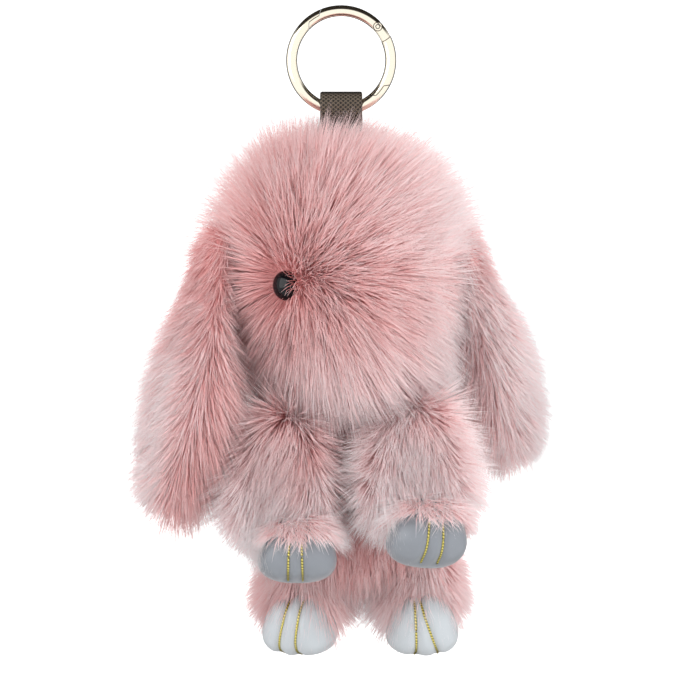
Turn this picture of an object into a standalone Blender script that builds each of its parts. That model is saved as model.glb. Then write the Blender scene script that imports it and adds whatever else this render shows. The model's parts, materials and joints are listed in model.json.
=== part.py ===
"""Plush rabbit keychain.

A stuffed, fur-covered rabbit hangs by a folded leather strap from a metal ring with a spring gate.
Units are metres and degrees, +Z is up and the rabbit's body faces -Y. The origin is the inner top
of the ring, where it bears on whatever carries it. Left is -X and right is +X, seen from the front.
"""

import math

import bmesh
import bpy
from mathutils import Vector

# Clearances
SOFT_GAP = 0.0003
SWING_GAP = 0.0005
METAL_GAP = 0.0001

# Ring and gate
RING_BORE_RADIUS = 0.0122
RING_WIRE_RADIUS = 0.00153
GATE_PIVOT_ANGLE = 42.5
GATE_HEEL_REACH = 0.0043
GATE_STEP_REACH = 0.0164
GATE_LIP_REACH = 0.0190
GATE_HEEL_ARC = 50.0
TONGUE_THICKNESS = 0.0010
TONGUE_HALF_WIDTH = 0.00135
TONGUE_ROOT = 0.0012
GATE_SLOT_BOTTOM = 0.0006
PIN_RADIUS = 0.0006
PIN_HEAD_RADIUS = 0.00115
PIN_HEAD_THICKNESS = 0.00035
PIN_HEAD_DIMPLE = 0.00015
PIN_DIMPLE_RADIUS = 0.0005
SPRING_BORE_RADIUS = 0.00075
SPRING_BORE_TURN = 28.0
SPRING_BORE_DEPTH = 0.0064
SPRING_COIL_RADIUS = 0.00047
SPRING_WIRE_RADIUS = 0.00011
SPRING_TURNS = 4
PLUNGER_RADIUS = 0.00062
PLUNGER_HEAD_LENGTH = 0.0013
PLUNGER_STEM_RADIUS = 0.00024
PLUNGER_STEM_LENGTH = 0.0013

# Strap
STRAP_WIDTH = 0.0117
STRAP_THICKNESS = 0.0018
STRAP_RING_CLEARANCE = 0.0003
STRAP_NECK_RADIUS = 0.0020
STRAP_PLY_GAP = 0.0002
STRAP_TAIL = 0.0215
STITCH_HEIGHT = 0.0150
STITCH_LENGTH = 0.0027
STITCH_COUNT = 3
THREAD_RADIUS = 0.00028

# Head
HEAD_RADIUS = 0.0336
HEAD_HALF_HEIGHT = 0.0374
HEAD_PILE = 0.0110
HEAD_DROP = 0.0071
HEAD_TURN = 17.0
MUZZLE_REACH = 0.0068
MUZZLE_DROP_ANGLE = 24.0
MUZZLE_SPREAD = 46.0
EYE_ANGLE = 55.0
EYE_DROP = 0.0044
EYE_RADIUS = 0.0041
EYE_DOME_HEIGHT = 0.0027
EYE_RIM = 0.0006
EYE_SHANK_RADIUS = 0.0012
EYE_SHANK_LENGTH = 0.0055
EYE_BACKING = 0.0012
EYE_WELL_SLOPE = 34.0
WASHER_RADIUS = 0.0038
WASHER_THICKNESS = 0.0009

# Ears
EAR_ROOT_OFFSET = 0.0352
EAR_ROOT_RISE = 0.0076
EAR_ROOT_BALL = 0.0080
EAR_LENGTH = 0.0725
EAR_HALF_THICKNESS = 0.0108
EAR_HALF_WIDTH = 0.0165
EAR_SPREAD_LEFT = 15.5
EAR_SPREAD_RIGHT = 24.0
EAR_SWEEP_LEFT = -3.0
EAR_SWEEP_RIGHT = 22.0

# Neck and body
NECK_RADIUS = 0.0065
NECK_WAIST_RADIUS = 0.0046
NECK_CORD_RADIUS = 0.0007
BODY_HALF_WIDTH = 0.0315
BODY_HALF_DEPTH = 0.0228
BODY_HALF_HEIGHT = 0.0310
BODY_TAPER = 0.10
BODY_TUCK = 0.0120
BODY_PILE = 0.0122
BODY_SWAY = 0.0020
BODY_SETBACK = 0.0040

# Arms and paws
SHOULDER_SPREAD = 0.0175
SHOULDER_REACH = 0.0190
SHOULDER_DROP_LEFT = 0.0075
SHOULDER_DROP_RIGHT = 0.0050
SHOULDER_BALL = 0.0115
ARM_LENGTH = 0.0365
ARM_TILT_LEFT = 14.0
ARM_TILT_RIGHT = 24.0
ARM_HALF_WIDTH = 0.0188
ARM_HALF_DEPTH = 0.0140
PAW_HALF_WIDTH = 0.0103
PAW_HALF_DEPTH = 0.0095
PAW_HALF_HEIGHT = 0.0093
PAW_DROP = 0.0325
PAW_REACH = 0.0030
PAW_SHIFT = 0.0035
PAW_TURN_LEFT = 0.0
PAW_TURN_RIGHT = 14.0

# Legs and feet
HIP_SPREAD = 0.0170
HIP_SHIFT = 0.0035
HIP_SETBACK = 0.0020
HIP_INSET = 0.0055
HIP_BALL = 0.0100
LEG_LENGTH = 0.0185
LEG_HALF_WIDTH = 0.0138
LEG_HALF_DEPTH = 0.0130
FOOT_HALF_WIDTH = 0.0096
FOOT_HALF_DEPTH = 0.0110
FOOT_HALF_HEIGHT = 0.0090
FOOT_DROP = 0.0170
FOOT_REACH = 0.0050
FOOT_TURN_LEFT = -17.0
FOOT_TURN_RIGHT = 4.0
LEG_SWING_BACK = 35.0
LEG_SWING_FORWARD = 10.0
SWING_MARGIN = 1.0

# How limbs and ears swell below their joints and close at their ends
LIMB_SWELL = 0.60
LIMB_BLUNTNESS = 0.6

# What paws and feet share
TOE_LINE_OFFSET = 0.0020
TOE_LINE_HALF_WIDTH = 0.0009
TOE_LINE_DEPTH = 0.0008
TOE_FAN = 0.22
PAW_SIDE_ANGLES = (20, 40, 60)
STEM_RADIUS = 0.0042
STEM_GROOVE_RADIUS = 0.0034
STEM_LENGTH = 0.0080
STEM_CORD_RADIUS = 0.0006

# Places that follow from the sizes
RING_MEAN_RADIUS = RING_BORE_RADIUS + RING_WIRE_RADIUS
RING_CENTRE_Z = -RING_BORE_RADIUS
# Past the wire: a cutter's outline lies this far out, and draws back by the ease at its corners
RING_FAR = 3.0 * RING_WIRE_RADIUS
OUTLINE_EASE = 4.0
STRAP_SLOPE = math.asin(STRAP_WIDTH / 2 / RING_MEAN_RADIUS)
RING_RISE_IN_STRAP = RING_MEAN_RADIUS * (1 - math.cos(STRAP_SLOPE))
STRAP_AXIS_Z = RING_CENTRE_Z - RING_MEAN_RADIUS + RING_RISE_IN_STRAP / 2
RING_HALF_RISE = RING_RISE_IN_STRAP / 2 + RING_WIRE_RADIUS / math.cos(STRAP_SLOPE)
STRAP_LOOP_RADIUS = RING_HALF_RISE + STRAP_RING_CLEARANCE
STRAP_PLY_OFFSET = (STRAP_THICKNESS + STRAP_PLY_GAP) / 2
STITCH_OFFSET = STRAP_PLY_OFFSET + STRAP_THICKNESS / 2 + METAL_GAP + THREAD_RADIUS
STRAP_SLIT_HALF_DEPTH = STITCH_OFFSET + THREAD_RADIUS + SOFT_GAP
HEAD_CENTRE_Z = STRAP_AXIS_Z - HEAD_DROP - HEAD_HALF_HEIGHT
HEAD_CAVITY_RADIUS = HEAD_RADIUS - HEAD_PILE
HEAD_CAVITY_HALF_HEIGHT = HEAD_HALF_HEIGHT - HEAD_PILE
NECK_Z = HEAD_CENTRE_Z - HEAD_HALF_HEIGHT
NECK_RISE = BODY_HALF_HEIGHT - BODY_TUCK
BODY_CENTRE_Z = NECK_Z - NECK_RISE
SIDES = {"left": -1, "right": 1}
# A turn that keeps the facets of a round cutter off the facet lines of the form it cuts
FACET_TURN = (0, 0, 5.0)


def start_scene():
    """Empty the file and make one collection for the parts and one for the cutters."""
    for old in list(bpy.data.objects):
        bpy.data.objects.remove(old, do_unlink=True)
    for name in ("plush_keychain", "cutters"):
        collection = bpy.data.collections.get(name) or bpy.data.collections.new(name)
        if collection.name not in bpy.context.scene.collection.children:
            bpy.context.scene.collection.children.link(collection)


def finish(name, colour, roughness, metallic=0.0):
    material = bpy.data.materials.new(name)
    material.use_nodes = True
    shader = material.node_tree.nodes["Principled BSDF"]
    shader.inputs["Base Color"].default_value = (*colour, 1.0)
    shader.inputs["Roughness"].default_value = roughness
    shader.inputs["Metallic"].default_value = metallic
    return material


def put(obj, parent, location, rotation, collection):
    bpy.data.collections[collection].objects.link(obj)
    obj.parent = parent
    obj.location = location
    obj.rotation_euler = [math.radians(angle) for angle in rotation]
    return obj


def frame(name, parent=None, location=(0, 0, 0), rotation=(0, 0, 0)):
    """An empty that carries pieces, on a joint's axis where they move."""
    return put(bpy.data.objects.new(name, None), parent, location, rotation, "plush_keychain")


def part(name, data, material, parent, location=(0, 0, 0), rotation=(0, 0, 0)):
    data.name = name
    data.materials.append(material)
    return put(bpy.data.objects.new(name, data), parent, location, rotation, "plush_keychain")


def cutter(name, data, parent, location=(0, 0, 0), rotation=(0, 0, 0)):
    obj = put(bpy.data.objects.new(name, data), parent, location, rotation, "cutters")
    obj.hide_render = True
    obj.display_type = "WIRE"
    return obj


def combine(target, tools, operation="DIFFERENCE"):
    for tool in tools:
        modifier = target.modifiers.new(tool.name, "BOOLEAN")
        modifier.operation = operation
        modifier.object = tool


def mesh_of(bm, name="form"):
    mesh = bpy.data.meshes.new(name)
    bm.to_mesh(mesh)
    bm.free()
    mesh.shade_smooth()
    mesh.set_sharp_from_angle(angle=math.radians(40))
    return mesh


def soft_form(segments, rings, shape):
    """A ball whose points are carried outward to where shape puts each direction."""
    bm = bmesh.new()
    bmesh.ops.create_uvsphere(bm, u_segments=segments, v_segments=rings, radius=1.0)
    for vert in bm.verts:
        vert.co = shape(vert.co.copy())
    return mesh_of(bm)


def ball(radius, segments=16, rings=12):
    return soft_form(segments, rings, lambda d: d * radius)


def block(low, high):
    bm = bmesh.new()
    bmesh.ops.create_cube(bm, size=1.0)
    for vert in bm.verts:
        vert.co = Vector([low[i] if vert.co[i] < 0 else high[i] for i in range(3)])
    return mesh_of(bm)


def rod(radius, low, high, segments=16, top_radius=None):
    """A round rod, or a cone, along Z."""
    bm = bmesh.new()
    bmesh.ops.create_cone(bm, cap_ends=True, segments=segments, radius1=radius,
                          radius2=radius if top_radius is None else top_radius, depth=high - low)
    bmesh.ops.translate(bm, verts=bm.verts, vec=(0, 0, (low + high) / 2))
    return mesh_of(bm)


def hoop(major, minor, major_segments, minor_segments):
    bpy.ops.mesh.primitive_torus_add(major_radius=major, minor_radius=minor, major_segments=major_segments,
                                     minor_segments=minor_segments)
    made = bpy.context.object
    mesh = made.data
    bpy.data.objects.remove(made)
    mesh.shade_smooth()
    return mesh


def profile(points, closed=False):
    """A profile of (radius, height) points in the XZ plane, for turning about Z."""
    mesh = bpy.data.meshes.new("profile")
    edges = [(i, i + 1) for i in range(len(points) - 1)]
    if closed:
        edges.append((len(points) - 1, 0))
    mesh.from_pydata([(radius, 0, height) for radius, height in points], edges, [])
    return mesh


def turn(obj, steps):
    screw = obj.modifiers.new("turn", "SCREW")
    screw.axis = "Z"
    screw.steps = steps
    screw.render_steps = steps
    screw.use_merge_vertices = True
    screw.merge_threshold = 1e-6
    return obj


def on_circle(centre, radius, degrees):
    angle = math.radians(degrees)
    return (centre[0] + radius * math.cos(angle), centre[1] + radius * math.sin(angle))


def arc(centre, radius, start, end, count):
    """Points of a plane arc, from one angle in degrees to another."""
    return [on_circle(centre, radius, start + (end - start) * i / (count - 1)) for i in range(count)]


def slab(outline, thickness):
    """A flat outline in XY with its thickness along Z, as a mesh."""
    curve = bpy.data.curves.new("outline", "CURVE")
    curve.dimensions = "2D"
    curve.fill_mode = "BOTH"
    curve.extrude = thickness / 2
    spline = curve.splines.new("POLY")
    spline.points.add(len(outline) - 1)
    for point, (x, y) in zip(spline.points, outline):
        point.co = (x, y, 0, 1)
    spline.use_cyclic_u = True
    obj = bpy.data.objects.new("outline", curve)
    bpy.context.scene.collection.objects.link(obj)
    evaluated = obj.evaluated_get(bpy.context.evaluated_depsgraph_get())
    bm = bmesh.new()
    bm.from_mesh(bpy.data.meshes.new_from_object(evaluated))
    bmesh.ops.remove_doubles(bm, verts=bm.verts, dist=1e-7)
    bmesh.ops.recalc_face_normals(bm, faces=bm.faces)
    bpy.data.objects.remove(obj)
    return mesh_of(bm)


def tube(points, radius):
    """A round wire along points, as a curve with filled caps."""
    curve = bpy.data.curves.new("tube", "CURVE")
    curve.dimensions = "3D"
    curve.bevel_depth = radius
    curve.bevel_resolution = 1
    curve.use_fill_caps = True
    spline = curve.splines.new("POLY")
    spline.points.add(len(points) - 1)
    for point, place in zip(spline.points, points):
        point.co = (*place, 1)
    return curve


def least_gap(points, radius, apart):
    """The least gap between turns of a tube, between points that are more than apart steps away."""
    places = [Vector(p) for p in points]
    pairs = ((a, b) for i, a in enumerate(places) for b in places[i + apart:])
    return min((a - b).length for a, b in pairs) - 2 * radius


def wire_ring():
    return hoop(RING_MEAN_RADIUS, RING_WIRE_RADIUS, 56, 10)


def in_ring(along, out):
    """A point beside the gate's pivot, along the wire towards the latch and out from the ring's centre."""
    angle = math.radians(GATE_PIVOT_ANGLE)
    reach = RING_MEAN_RADIUS + out
    x = reach * math.cos(angle) - along * math.sin(angle)
    y = reach * math.sin(angle) + along * math.cos(angle)
    return (x, y)


def angle_on_ring(from_pivot, from_centre):
    """The angle, towards the latch, of the point this far from the pivot and from the ring's centre."""
    along = (RING_MEAN_RADIUS ** 2 + from_centre ** 2 - from_pivot ** 2) / (2 * RING_MEAN_RADIUS)
    return GATE_PIVOT_ANGLE + math.degrees(math.acos(along / from_centre))


def pivot_arc(from_pivot, centre_start, centre_end, count=7):
    """Points at one distance from the pivot, between two distances from the ring's centre."""
    reaches = [centre_start + (centre_end - centre_start) * i / (count - 1) for i in range(count)]
    return [on_circle((0, 0), reach, angle_on_ring(from_pivot, reach)) for reach in reaches]


def gate_outline(gap):
    """The gate in the ring's plane, grown by gap: round heel, stepped latch, past the wire elsewhere.

    Its ends are arcs about the pivot, so that the gate swings inwards past the ring without touching.
    """
    outer = RING_MEAN_RADIUS + RING_FAR
    inner = RING_MEAN_RADIUS - RING_FAR
    split = RING_MEAN_RADIUS + gap
    step = GATE_STEP_REACH + gap
    lip = GATE_LIP_REACH + gap
    behind = GATE_PIVOT_ANGLE - 90
    heel = arc(in_ring(0, 0), GATE_HEEL_REACH + gap, behind - GATE_HEEL_ARC, behind + GATE_HEEL_ARC, 13)
    over_top = arc((0, 0), outer, GATE_PIVOT_ANGLE, angle_on_ring(step, outer) - OUTLINE_EASE, 9)
    lap = arc((0, 0), split, angle_on_ring(step, split), angle_on_ring(lip, split), 6)
    under = arc((0, 0), inner, angle_on_ring(lip, inner) - OUTLINE_EASE, GATE_PIVOT_ANGLE, 9)
    latch = pivot_arc(step, outer, split)[:-1] + lap[:-1] + pivot_arc(lip, split, inner)
    return heel + over_top + latch + under


def tongue_outline():
    """The ring's flat tongue between the gate's cheeks, round about the pivot."""
    root = GATE_PIVOT_ANGLE - math.degrees((GATE_HEEL_REACH + TONGUE_ROOT) / RING_MEAN_RADIUS)
    outside = arc((0, 0), RING_MEAN_RADIUS + TONGUE_HALF_WIDTH, root, GATE_PIVOT_ANGLE, 5)
    tip = arc(in_ring(0, 0), TONGUE_HALF_WIDTH, GATE_PIVOT_ANGLE, GATE_PIVOT_ANGLE + 180, 13)
    inside = arc((0, 0), RING_MEAN_RADIUS - TONGUE_HALF_WIDTH, GATE_PIVOT_ANGLE, root, 5)
    return outside[:-1] + tip + inside[1:]


def slot_outline():
    """The slot between the gate's cheeks, open at the heel and round where the tongue's tip turns."""
    radius = TONGUE_HALF_WIDTH + METAL_GAP
    half = math.degrees(math.acos(GATE_SLOT_BOTTOM / radius))
    middle = GATE_PIVOT_ANGLE + 90
    tip = arc(in_ring(0, 0), radius, middle - half, middle + half, 9)
    heel = -GATE_HEEL_REACH - RING_FAR
    start = [in_ring(heel, RING_FAR), in_ring(GATE_SLOT_BOTTOM, RING_FAR)]
    return start + tip + [in_ring(GATE_SLOT_BOTTOM, -RING_FAR), in_ring(heel, -RING_FAR)]


def build_ring(metal, steel):
    """The ring lies in the XZ plane. Plane outlines are drawn in XY and stood up by a quarter turn."""
    upright = (90, 0, 0)
    centre = frame("ring_centre", None, (0, 0, RING_CENTRE_Z))
    x, z = in_ring(0, 0)
    pivot = frame("gate_pivot", centre, (x, 0, z))
    deep = 2 * RING_FAR

    body = part("ring_body", wire_ring(), metal, centre, rotation=upright)
    pin_hole = cutter("pin_hole", rod(PIN_RADIUS + METAL_GAP, -RING_FAR, RING_FAR), pivot, rotation=upright)
    combine(body, [cutter("gate_space", slab(gate_outline(METAL_GAP), deep), centre, rotation=upright)])
    tongue = cutter("tongue", slab(tongue_outline(), TONGUE_THICKNESS), centre, rotation=upright)
    combine(body, [tongue], "UNION")
    combine(body, [pin_hole])

    gate = part("ring_gate", wire_ring(), metal, centre, rotation=upright)
    combine(gate, [cutter("gate_blank", slab(gate_outline(0), deep), centre, rotation=upright)], "INTERSECT")
    slot = slab(slot_outline(), TONGUE_THICKNESS + 2 * METAL_GAP)
    pin_half = RING_WIRE_RADIUS - METAL_GAP
    cheek = pin_half - PIN_HEAD_THICKNESS - METAL_GAP
    combine(gate, [cutter("gate_slot", slot, centre, rotation=upright), pin_hole])
    for side in (-1, 1):
        seat = rod(PIN_HEAD_RADIUS + METAL_GAP, cheek, cheek + RING_FAR)
        combine(gate, [cutter(f"pin_seat_{side}", seat, pivot, rotation=(90 * side, 0, 0))])

    neck = pin_half - PIN_HEAD_THICKNESS
    head = [(0, pin_half - PIN_HEAD_DIMPLE), (PIN_DIMPLE_RADIUS, pin_half - PIN_HEAD_DIMPLE),
            (PIN_DIMPLE_RADIUS + PIN_HEAD_DIMPLE, pin_half), (PIN_HEAD_RADIUS, pin_half),
            (PIN_HEAD_RADIUS, neck), (PIN_RADIUS, neck)]
    tail = [(radius, -height) for radius, height in reversed(head)]
    turn(part("gate_pin", profile(head + tail), metal, pivot, rotation=upright), 16)
    build_gate_spring(gate, pivot, steel)


def build_gate_spring(gate, pivot, steel):
    """A coil and its follower in a bore along a chord of the gate, pressing on the ring's tongue."""
    chord = math.radians(GATE_PIVOT_ANGLE + 90 + SPRING_BORE_TURN / 2)
    aim = Vector((math.cos(chord), 0, math.sin(chord))).to_track_quat("Z", "Y").to_euler()
    turned = [math.degrees(angle) for angle in aim]
    bore = frame("spring_bore", pivot, rotation=turned)
    combine(gate, [cutter("spring_hole", rod(SPRING_BORE_RADIUS, 0, SPRING_BORE_DEPTH, 12), bore)])

    nose = TONGUE_HALF_WIDTH + METAL_GAP
    shoulder = nose + PLUNGER_HEAD_LENGTH
    outline = [(0, shoulder + PLUNGER_STEM_LENGTH), (PLUNGER_STEM_RADIUS, shoulder + PLUNGER_STEM_LENGTH),
               (PLUNGER_STEM_RADIUS, shoulder), (PLUNGER_RADIUS, shoulder),
               (PLUNGER_RADIUS, nose + PLUNGER_RADIUS / 2), (PLUNGER_RADIUS / 2, nose), (0, nose)]
    turn(part("gate_plunger", profile(outline), steel, bore), 12)

    start = shoulder + METAL_GAP + SPRING_WIRE_RADIUS
    rise = SPRING_BORE_DEPTH - METAL_GAP - SPRING_WIRE_RADIUS - start
    per_turn = 9
    count = SPRING_TURNS * per_turn
    coil = []
    for i in range(count + 1):
        angle = 2 * math.pi * i / per_turn
        coil.append((SPRING_COIL_RADIUS * math.cos(angle), SPRING_COIL_RADIUS * math.sin(angle),
                     start + rise * i / count))
    part("gate_spring", tube(coil, SPRING_WIRE_RADIUS), steel, bore)
    print(f"gate_spring least gap {least_gap(coil, SPRING_WIRE_RADIUS, per_turn // 2 + 1) * 1000:.2f} mm")


def strap_path():
    """The strap's middle line in (y, z): up one ply, round the ring and down the other ply."""
    loop = STRAP_LOOP_RADIUS + STRAP_THICKNESS / 2
    fillet_y = STRAP_PLY_OFFSET + STRAP_NECK_RADIUS
    fillet_z = -math.sqrt((loop + STRAP_NECK_RADIUS) ** 2 - fillet_y ** 2)
    meet = math.degrees(math.atan2(fillet_z, fillet_y))
    down = [(STRAP_PLY_OFFSET, -STRAP_TAIL), (STRAP_PLY_OFFSET, (fillet_z - STRAP_TAIL) / 2)]
    neck = arc((fillet_y, fillet_z), STRAP_NECK_RADIUS, 180, 180 + meet, 6)
    over = arc((0, 0), loop, meet, 90, 12)
    half = down + neck + over[1:]
    return half + [(-y, z) for y, z in reversed(half[:-1])]


def build_strap(leather, thread, axis):
    path = strap_path()
    bm = bmesh.new()
    rows = [[bm.verts.new((x, y, z)) for x in (-STRAP_WIDTH / 2, STRAP_WIDTH / 2)] for y, z in path]
    for low, high in zip(rows, rows[1:]):
        bm.faces.new((low[0], low[1], high[1], high[0]))
    strap = part("strap", mesh_of(bm), leather, axis)
    wall = strap.modifiers.new("leather", "SOLIDIFY")
    wall.thickness = STRAP_THICKNESS
    wall.offset = 0
    wall.use_even_offset = True

    first = -STITCH_LENGTH * STITCH_COUNT / 2
    holes = [first + STITCH_LENGTH * i for i in range(STITCH_COUNT + 1)]
    sewn = [(holes[0], -STITCH_OFFSET, -STITCH_HEIGHT)]
    for i, x in enumerate(holes):
        needle = rod(THREAD_RADIUS + METAL_GAP, -2 * STRAP_THICKNESS - STITCH_OFFSET,
                     2 * STRAP_THICKNESS + STITCH_OFFSET, 8)
        combine(strap, [cutter(f"needle_hole_{i}", needle, axis, (x, 0, -STITCH_HEIGHT), (90, 0, 0))])
        far = STITCH_OFFSET if i % 2 == 0 else -STITCH_OFFSET
        sewn += [(x, 0, -STITCH_HEIGHT), (x, far, -STITCH_HEIGHT)]
        if i < STITCH_COUNT:
            sewn += [((x + holes[i + 1]) / 2, far, -STITCH_HEIGHT), (holes[i + 1], far, -STITCH_HEIGHT)]
    part("strap_thread", tube(sewn, THREAD_RADIUS), thread, axis)

    top = STRAP_LOOP_RADIUS + STRAP_THICKNESS
    width = STRAP_WIDTH / 2 + SOFT_GAP
    return cutter("strap_slit", block((-width, -STRAP_SLIT_HALF_DEPTH, -STRAP_TAIL - SOFT_GAP),
                                      (width, STRAP_SLIT_HALF_DEPTH, top)), axis)


def head_shape(grow=0.0, muzzle=True):
    """A ball of revolution, with the muzzle swelling out of its front."""
    drop = math.radians(MUZZLE_DROP_ANGLE)
    towards = Vector((0, -math.cos(drop), -math.sin(drop)))

    def shape(d):
        spread = math.degrees(d.angle(towards))
        swell = 0.0
        if muzzle and spread < MUZZLE_SPREAD:
            swell = MUZZLE_REACH * (1 + math.cos(math.pi * spread / MUZZLE_SPREAD)) / 2
        radius = HEAD_RADIUS + grow
        return Vector((d.x * radius, d.y * radius, d.z * (HEAD_HALF_HEIGHT + grow))) + d * swell

    return shape


def cavity_shape(grow=0.0):
    radius = HEAD_CAVITY_RADIUS + grow
    height = HEAD_CAVITY_HALF_HEIGHT + grow
    return lambda d: Vector((d.x * radius, d.y * radius, d.z * height))


def cavity_reach(drop):
    """How far the head's cavity reaches from its axis, at a depth below its middle."""
    return HEAD_CAVITY_RADIUS * math.sqrt(1 - (drop / HEAD_CAVITY_HALF_HEIGHT) ** 2)


def body_shape(grow=0.0):
    """An egg, wider below."""

    def shape(d):
        wide = 1 - BODY_TAPER * d.z
        return Vector((d.x * (BODY_HALF_WIDTH + grow) * wide, d.y * (BODY_HALF_DEPTH + grow) * wide,
                       d.z * (BODY_HALF_HEIGHT + grow)))

    return shape


def limb_shape(root, length, half_width, half_depth):
    """A sewn limb: a ball about its joint that swells below it and closes in a blunt end."""

    def shape(d):
        if d.z >= 0:
            return d * root
        side = math.hypot(d.x, d.y)
        if side < 1e-6:
            return Vector((0, 0, -length))
        share = min(1.0, -d.z / LIMB_SWELL)
        grown = share * share * (3 - 2 * share)
        closing = side ** LIMB_BLUNTNESS / side
        return Vector((d.x * closing * (root + (half_width - root) * grown),
                       d.y * closing * (root + (half_depth - root) * grown), d.z * length))

    return shape


def build_head(fur, fibre, black, plastic, slit, head):
    cover = part("head_fur", soft_form(24, 16, head_shape()), fur, head)
    stuffing = part("head_stuffing", soft_form(14, 9, cavity_shape(-SOFT_GAP)), fibre, head)
    neck_hole = rod(NECK_RADIUS + SOFT_GAP, -HEAD_HALF_HEIGHT - HEAD_PILE, -HEAD_CAVITY_HALF_HEIGHT / 2, 20)
    neck_end = block((-NECK_RADIUS * 2, -NECK_RADIUS * 2, -HEAD_HALF_HEIGHT - HEAD_PILE),
                     (NECK_RADIUS * 2, NECK_RADIUS * 2, -HEAD_CAVITY_HALF_HEIGHT + SOFT_GAP))
    combine(cover, [cutter("head_cavity", soft_form(14, 9, cavity_shape()), head), slit,
                    cutter("head_neck_hole", neck_hole, head, rotation=FACET_TURN)])
    combine(stuffing, [slit, cutter("head_neck_end", neck_end, head)])
    for name, side in SIDES.items():
        build_eye(name, side, cover, stuffing, black, plastic, head)
    return cover, stuffing


def build_eye(name, side, cover, stuffing, black, plastic, head):
    """An eye at the bottom of a well in the fur, its shank through the cover and a washer behind it."""
    seat = cavity_reach(max(0.0, EYE_DROP - EYE_RADIUS)) + EYE_BACKING
    eye = frame(f"eye_axis_{name}", head, (0, 0, -EYE_DROP), (90, 0, side * EYE_ANGLE))
    base = seat + METAL_GAP
    dome = arc((0, 0), 1, 90, 0, 6)
    outline = [(EYE_RADIUS * x, base + EYE_RIM + EYE_DOME_HEIGHT * y) for x, y in dome]
    outline[0] = (0, outline[0][1])
    outline += [(EYE_RADIUS, base), (EYE_SHANK_RADIUS, base), (EYE_SHANK_RADIUS, base - EYE_SHANK_LENGTH),
                (0, base - EYE_SHANK_LENGTH)]
    turn(part(f"eye_{name}", profile(outline), black, eye), 16)

    washer_top = cavity_reach(EYE_DROP + WASHER_RADIUS) - SOFT_GAP
    hole = EYE_SHANK_RADIUS + METAL_GAP
    ring = [(hole, washer_top), (WASHER_RADIUS, washer_top), (WASHER_RADIUS, washer_top - WASHER_THICKNESS),
            (hole, washer_top - WASHER_THICKNESS)]
    turn(part(f"eye_washer_{name}", profile(ring, closed=True), plastic, eye), 16)

    deep = 2 * HEAD_PILE
    mouth = EYE_RADIUS + deep * math.tan(math.radians(EYE_WELL_SLOPE))
    well = rod(EYE_RADIUS + SOFT_GAP, seat, seat + deep, 18, mouth)
    pocket = rod(WASHER_RADIUS + SOFT_GAP, base - EYE_SHANK_LENGTH - SOFT_GAP, seat + HEAD_PILE, 16)
    shank_hole = rod(EYE_SHANK_RADIUS + SOFT_GAP, 0, seat + HEAD_PILE, 12)
    washer_seat = rod(WASHER_RADIUS + SOFT_GAP, 0, washer_top + SOFT_GAP, 16)
    combine(cover, [cutter(f"eye_well_{name}", well, eye), cutter(f"eye_shank_hole_{name}", shank_hole, eye),
                    cutter(f"eye_washer_seat_{name}", washer_seat, eye)])
    combine(stuffing, [cutter(f"eye_pocket_{name}", pocket, eye)])


def build_limb(name, root, form, segments, rings, fur, larger, joint, swings=()):
    """A limb, trimmed by the larger form beside it except the ball about its joint, and the ball's socket.

    Swings are the angles about the joint's X axis at which the limb also has to clear that form.
    """
    limb = part(name, soft_form(segments, rings, form), fur, joint)
    socket = cutter(f"{name}_socket", ball(root + SWING_GAP), joint)
    hollow = cutter(f"{name}_hollow", ball(root + METAL_GAP, segments, rings), joint)
    trim = cutter(f"{name}_trim", larger.data, larger.parent)
    for i, angle in enumerate(swings):
        swung = frame(f"{name}_swing_{i}", joint, rotation=(-angle, 0, 0))
        combine(trim, [cutter(f"{name}_trim_{i}", larger.data, swung, -joint.location)], "UNION")
    combine(trim, [hollow])
    combine(limb, [trim])
    return limb, socket


def build_ears(fur, cover, stuffing, head):
    grown = cutter("head_grown", soft_form(24, 16, head_shape(SOFT_GAP)), head)
    spread = {"left": EAR_SPREAD_LEFT, "right": EAR_SPREAD_RIGHT}
    sweep = {"left": EAR_SWEEP_LEFT, "right": EAR_SWEEP_RIGHT}
    for name, side in SIDES.items():
        root = (side * EAR_ROOT_OFFSET, 0, EAR_ROOT_RISE)
        swung = frame(f"ear_sweep_{name}", head, root, (sweep[name], 0, 0))
        joint = frame(f"ear_axis_{name}", swung, rotation=(0, -side * spread[name], 0))
        form = limb_shape(EAR_ROOT_BALL, EAR_LENGTH, EAR_HALF_THICKNESS, EAR_HALF_WIDTH)
        _, socket = build_limb(f"ear_{name}", EAR_ROOT_BALL, form, 16, 16, fur, grown, joint)
        combine(cover, [socket])
        combine(stuffing, [socket])


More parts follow.
